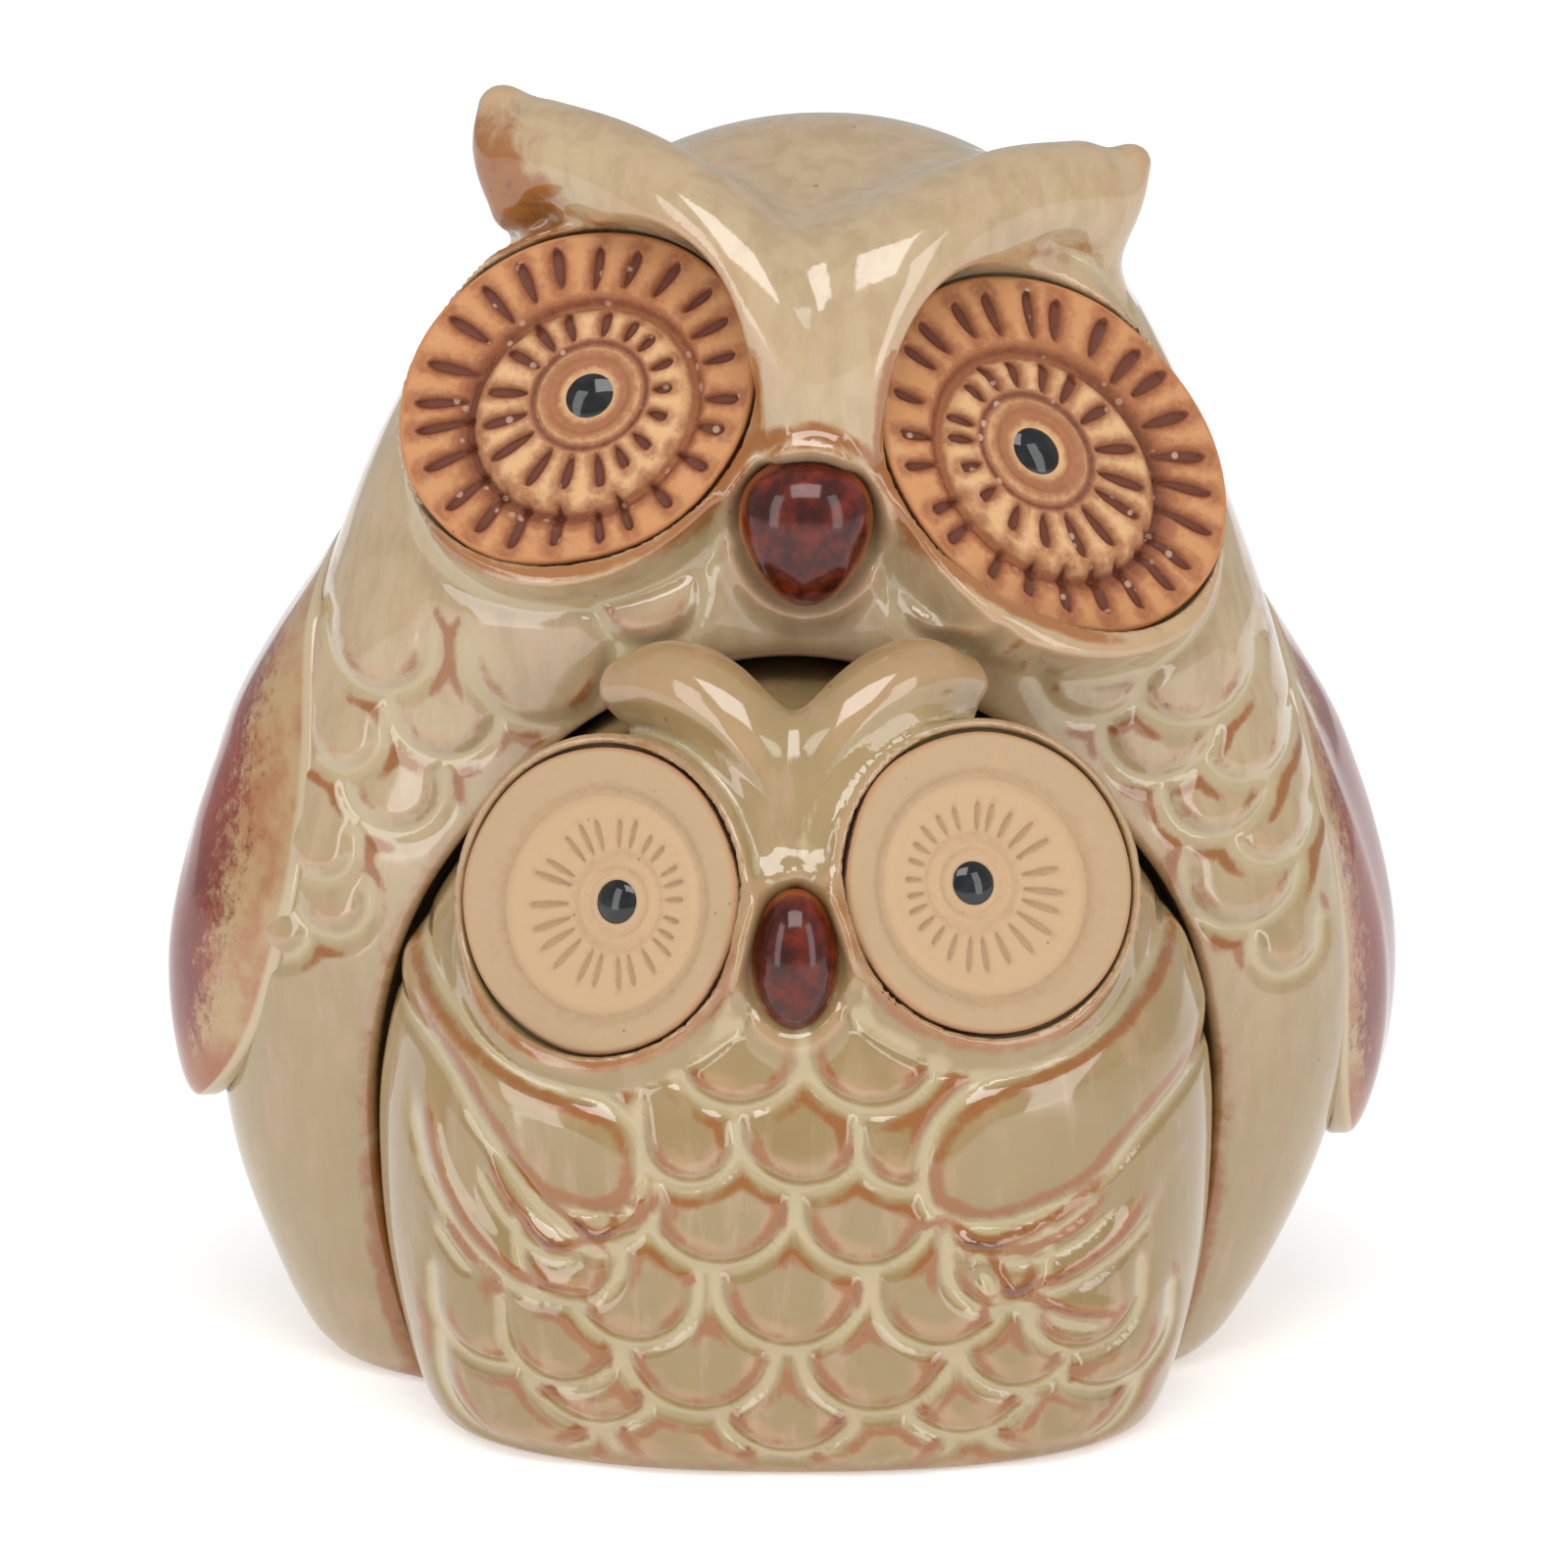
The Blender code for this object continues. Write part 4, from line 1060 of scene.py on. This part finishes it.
def disc_object(name, eye, carving, look, around):
    """An eye disc: tool marks sunk into a round sheet, with a rounded edge that drops into its bed."""
    R = eye.radius
    ring = carving.plateau_size
    wobble = np.random.default_rng(len(name) + carving.outer_strokes)
    edge_waves = [(k, wobble.uniform(0, 6.28), 0.10 / k**0.5) for k in range(2, 9)]
    marks = disc_marks(eye, carving, wobble)

    def shares(x, y):
        """How far a place is from the plateau's centre, the pupil and the disc's centre, over the radius."""
        from_plateau = np.hypot(x - carving.plateau_x * R * -eye.outward, y - carving.plateau_y * R)
        return from_plateau / R, np.hypot(x - eye.pupil_shift, y) / R, np.hypot(x, y) / R

    def strokes(x, y):
        """How deep a place is in a stroke, and how near it is to one."""
        stroke, halo = np.zeros(len(x)), np.zeros(len(x))
        for from_x, a, start, end, width in marks:
            along = (x - from_x) * math.cos(a) + y * math.sin(a)
            across = -(x - from_x) * math.sin(a) + y * math.cos(a)
            t = (along - start) / (end - start)
            body = np.clip(4 * t * (1 - t), 0, 1) ** 0.32 * (0.75 + 0.4 * t)
            stroke = np.maximum(stroke, smoothstep(np.abs(across) / width - body, 0.15, -0.65) * (body > 0))
            beyond = np.maximum(np.abs(along - 0.5 * (start + end)) - 0.5 * (end - start), 0)
            halo = np.maximum(halo, smoothstep(np.hypot(across, beyond), 2.6 * width, 0.5 * width))
        return stroke, halo

    def height(x, y):
        stroke, _ = strokes(x, y)
        plateau, pupil, r = shares(x, y)
        up = carving.plateau_rise * smoothstep(plateau, ring - 0.01, ring - 0.07)
        trench = -carving.trench_depth * bell(plateau - ring - 0.02, 0.035)
        band = 0.25 * (1 - ((r - 0.82) / 0.2) ** 2) * (r > 0.62)
        socket = 0.35 * bell(pupil - 0.245, 0.028) - 0.25 * bell(pupil - 0.30, 0.025)
        socket = socket + 0.15 * bell(pupil - 0.155, 0.02) - 0.2 * bell(pupil - 0.20, 0.02)
        dish = -0.35 * smoothstep(pupil, 0.20, 0.10)
        cut = carving.stroke_depth * stroke
        return up + trench + band * 0.6 + (socket + dish) * carving.socket_depth - cut

    radii = np.linspace(0.001, 1, DISC_RINGS) * (R - EDGE_INSET)
    points, quads = polar_sheet(radii, around, height)
    angle = np.arctan2(points[:, 1], points[:, 0])
    outline = 1 - sum(size * (1 + np.sin(k * angle + phase)) for k, phase, size in edge_waves) / R
    share = np.hypot(points[:, 0], points[:, 1]) / R
    points[:, :2] *= (1 + (outline - 1) * smoothstep(share, 0.7, 0.96))[:, None]

    x, y = points[:, 0], points[:, 1]
    stroke, halo = strokes(x, y)
    plateau, pupil, r = shares(x, y)
    heavy = 0.5 + 0.5 * np.cos(np.arctan2(y, x) - math.atan2(-0.5, eye.outward))
    stain = 0.75 * smoothstep(np.abs(plateau - ring - 0.035 - 0.02 * heavy), 0.09 + 0.05 * heavy, 0.01)
    trench_stain = 0.95 * smoothstep(np.abs(plateau - ring - 0.02), 0.055, 0.005) * (0.6 + 0.4 * heavy)
    fade = 0.5 * smoothstep(plateau, ring + 0.34, ring + 0.02) * (plateau > ring) * (0.3 + 0.7 * heavy)
    near_pupil = 0.85 * smoothstep(np.abs(pupil - 0.31), 0.055, 0.005)
    by_pupil = 0.62 * smoothstep(np.abs(pupil - 0.21), 0.10, 0.02)
    rings = np.maximum.reduce([stain, trench_stain, fade, near_pupil, by_pupil]) * carving.ring_stain
    mark = np.maximum(rings, np.maximum(stroke, 0.5 * halo) * carving.stroke_stain)
    inner = smoothstep(plateau, ring + 0.01, ring - 0.03)
    rim = smoothstep(r, 0.88, 0.98)

    drops = []
    for inset, drop, _ in EDGE_RINGS:
        edge = points[-around:].copy()
        edge[:, :2] *= (R - inset) / (R - EDGE_INSET)
        edge[:, 2] -= drop
        drops.append(edge)
    last = len(points) - around
    index = np.arange(last, last + around * (len(drops) + 1)).reshape(-1, around)
    world = eye.world(np.concatenate([points, *drops]))
    mesh = new_mesh(name, world, np.concatenate([quads, band_quads(index)]))
    bare = np.zeros(around * len(drops))
    store(mesh, "mark", np.concatenate([mark, bare]))
    store(mesh, "inner", np.concatenate([inner, bare]))
    # The edge rings' rim values paint the edge dark brown as it drops into the bed: painted shade.
    store(mesh, "rim", np.concatenate([rim, np.repeat([stained for _, _, stained in EDGE_RINGS], around)]))
    return new_object(name, mesh, look)


def pupil_object(name, eye, radius, look, around=48, sunk=0.35, wall=1.0):
    """A glossy bead a millimetre high, with a straight wall below, sunk in the disc."""
    radii = radius * np.sin(np.linspace(0, math.pi / 2, 15))
    radii[0] = 0.02

    def height(x, y):
        share = np.clip(np.hypot(x, y) / radius, 0, 1)
        return np.sqrt(1 - share**2) - sunk

    points, quads = polar_sheet(radii, around, height)
    index = np.arange(len(points) - around, len(points) + around).reshape(2, around)
    points = np.concatenate([points, points[-around:] - (0, 0, wall)])
    points[:, 0] += eye.pupil_shift
    mesh = new_mesh(name, eye.world(points), np.concatenate([quads, band_quads(index)]))
    return new_object(name, mesh, look)


def make_eyes():
    band, cream, stain = colour(188, 134, 90), colour(202, 160, 116), colour(142, 82, 52)
    orange = bisque_material("orange_bisque_look", band, cream, stain, 0.95)
    band, cream, stain = colour(178, 150, 117), colour(188, 157, 122), colour(140, 108, 78)
    tan = bisque_material("tan_bisque_look", band, cream, stain, 0.45)
    black = pupil_glaze()
    adult = Carving(24, 17, 1.0, 0.8, 1.0, 1.0, 1.0, 0.60, 0.05, -0.08, 0.5, 0.85)
    adult_right = adult._replace(outer_strokes=25)
    baby = Carving(0, 24, 0.55, 0.3, 0.6, 0.35, 0.6, 0.70, 0.03, -0.03, 0.15, 0.35)
    for owl, side, eye, carving, slot, look, around, bead_radius in (
        ("adult", "left", ADULT_EYES[0], adult, "orange_bisque", orange, 480, 2.75),
        ("adult", "right", ADULT_EYES[1], adult_right, "orange_bisque", orange, 480, 2.75),
        ("baby", "left", BABY_EYES[0], baby, "tan_bisque", tan, 420, 2.2),
        ("baby", "right", BABY_EYES[1], baby, "tan_bisque", tan, 420, 2.2),
    ):
        disc = disc_object(f"{owl}_disc_{side}", eye, carving, look, around)
        take(disc, owl, slot, f"{owl}_eye_{side}")
        bead = pupil_object(f"{owl}_bead_{side}", eye, bead_radius, black)
        take(bead, owl, "black_glaze", f"{owl}_pupil_{side}")


def ball_grid(around, rings):
    """Angles and shares of the way up for a closed round form, with its quads."""
    turn = np.linspace(-math.pi, math.pi, around, endpoint=False)
    share, angle = np.meshgrid(np.linspace(0.004, 0.996, rings), turn, indexing="ij")
    index = np.arange(rings * around).reshape(rings, around)
    return angle.ravel(), share.ravel(), band_quads(index, flip=True)


def make_beaks():
    look = beak_glaze()
    for owl, beak in (("adult", ADULT_BEAK), ("baby", BABY_BEAK)):
        centre, (across, deep, tall), taper, lean = beak
        angle, share, quads = ball_grid(96, 64)
        up = -np.cos(share * math.pi)
        girth = np.sin(share * math.pi) * (1 + taper * up)
        hook = -0.12 * deep * np.maximum(0, -up) ** 2
        local = np.stack([across * girth * np.cos(angle), deep * girth * np.sin(angle) + hook, tall * up], 1)
        lean_matrix = np.array(Euler((math.radians(lean), 0, 0)).to_matrix())
        mesh = new_mesh(f"{owl}_bill", local @ lean_matrix.T + centre, quads)
        store(mesh, "rim", smoothstep(local[:, 1] / deep, -0.75, -0.1))
        store(mesh, "foot", smoothstep(up, -0.55, -0.95))
        take(new_object(f"{owl}_bill", mesh, look), owl, "brown_glaze", f"{owl}_beak")


def make_wings():
    """A leaf laid on each side of the adult. Heights are in millimetres, and its place round the body in
    degrees. The red begins at red_from: -1 is the front edge and 1 the back. fuller is extra thickness."""
    look = red_glaze()
    for side, (middle, half_height, centre, half_turn, sweep), red_from, fuller in (
        ("left", (54.0, 29.5, 16.0, 47.0, 12.0), -0.62, 0.0),
        ("right", (50.1, 31.4, 25.0, 38.0, 14.0), -0.80, 0.85),
    ):
        angle, share, quads = ball_grid(260, 170)
        up = -np.cos(share * math.pi)
        ring = np.sin(share * math.pi)
        across, out = ring * np.cos(angle), ring * np.sin(angle)
        z = middle + half_height * up
        turn = np.radians(centre + sweep * up + half_turn * across)
        outer = np.sign(out) * np.abs(out) ** 0.45
        place = across / np.maximum(ring, 0.05)
        full = (WING_OUT + fuller) * (0.10 + 0.90 * smoothstep(across + 0.15 * up, -0.95, -0.25))
        full = full * (0.12 + 0.88 * smoothstep(up, 1.0, 0.25))
        thick = -WING_SUNK + (full + WING_SUNK) * (1 + outer) / 2
        grooves = np.zeros(len(up))
        for k, middle_line in enumerate((-0.30, 0.02, 0.35, 0.68)):
            line = middle_line + 0.12 * np.sin(2.2 * up + k)
            fade = smoothstep(up, 0.35 - 0.1 * k, 0.0) * smoothstep(up, -0.98, -0.8)
            grooves += fade * bell(across - line, 0.03)
        for row in range(3):
            for k in range(-1, 4):
                x0, z0 = 0.26 * k + 0.13 * (row % 2), 0.12 + 0.22 * row
                gap = np.hypot((across - x0) / 0.14, np.minimum(up - z0 - 0.13, 0) / 0.14) - 1
                grooves += 0.7 * bell(gap, 0.16) * (up < z0 + 0.2) * (up > z0 - 0.12)
        grooves = np.clip(grooves, 0, 1) * (out > 0) * smoothstep(ring, 0.25, 0.5)
        grooves *= smoothstep(across, -0.4, -0.2)
        thick = thick - 0.45 * grooves
        if side == "left":
            turn = math.pi - turn
            quads = quads[:, ::-1]
        mesh = new_mesh(f"wing_{side}", ADULT.form.skin(z, turn, thick), quads)
        store(mesh, "bend", -0.25 * grooves)
        store(mesh, "wash", smoothstep(place, red_from - 0.36, red_from + 0.30) * smoothstep(up, 1.0, 0.7))
        store(mesh, "low", smoothstep(up, -0.5, -0.95))
        store(mesh, "front", smoothstep(place, -0.90, -0.985) * (out > -0.3))
        take(new_object(f"wing_{side}", mesh, look), "adult", "red_glaze", f"adult_wing_{side}")


# ---------------- floor, light and camera


def make_studio():
    corners = FLOOR_REACH * np.array([(-1, -1, 0), (1, -1, 0), (1, 1, 0), (-1, 1, 0)], float)
    mesh = new_mesh("floor", corners, np.array([[0, 1, 2, 3]]))
    floor = new_object("floor", mesh)
    s = Shader("paper", IOR=1.45, Specular_IOR_Level=0.1, Emission_Color=(1, 1, 1, 1))
    tone = s.mix(s.noise(60, 2), colour(250, 250, 250), colour(246, 246, 246))
    away = s.node("VectorMath", {0: s.place}, "Value", operation="LENGTH")
    s.put(s.main.inputs["Emission Strength"], s.step(away, 0.2, 1.0, 0.42, 0.60))
    mesh.materials.append(s.finish(tone, 0.9))
    floor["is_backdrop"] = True

    world = bpy.data.worlds.new("studio")
    world.use_nodes = True
    sky = world.node_tree.nodes["Background"].inputs
    sky["Color"].default_value = (1, 1, 1, 1)
    sky["Strength"].default_value = 0.52
    bpy.context.scene.world = world

    target = Vector((0, 0, 0.06))
    # A light box: name, place, size and brightness.
    boxes = (
        ("left_box", (-0.50, -0.44, 0.26), (0.20, 0.60), 2.6),
        ("right_box", (0.50, -0.44, 0.26), (0.20, 0.60), 2.6),
        ("top_box", (0.0, -0.34, 0.55), (0.42, 0.28), 4.4),
    )
    for name, place, size, bright in boxes:
        lamp = bpy.data.lights.new(name, "AREA")
        lamp.shape = "RECTANGLE"
        lamp.size, lamp.size_y = size
        lamp.energy = bright * math.pi * size[0] * size[1]
        thing = new_object(name, lamp)
        thing.location = place
        thing.rotation_euler = (Vector(place) - target).to_track_quat("Z", "Y").to_euler()

    camera = bpy.data.cameras.new("camera")
    camera.sensor_width = 36
    camera.lens = 155
    thing = new_object("camera", camera)
    thing.location = (0, -0.6367, 0.1808)
    aim = Vector((0, 0.0014, 0.0568))
    thing.rotation_euler = (thing.location - aim).to_track_quat("Z", "Y").to_euler()
    bpy.context.scene.camera = thing
    bpy.context.scene.view_settings.view_transform = "Standard"


make_skins()
make_eyes()
make_beaks()
make_wings()
make_studio()

low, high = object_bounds()
{"cad": [list(cad_low), list(cad_high)], "visual": [list(low), list(high)]}
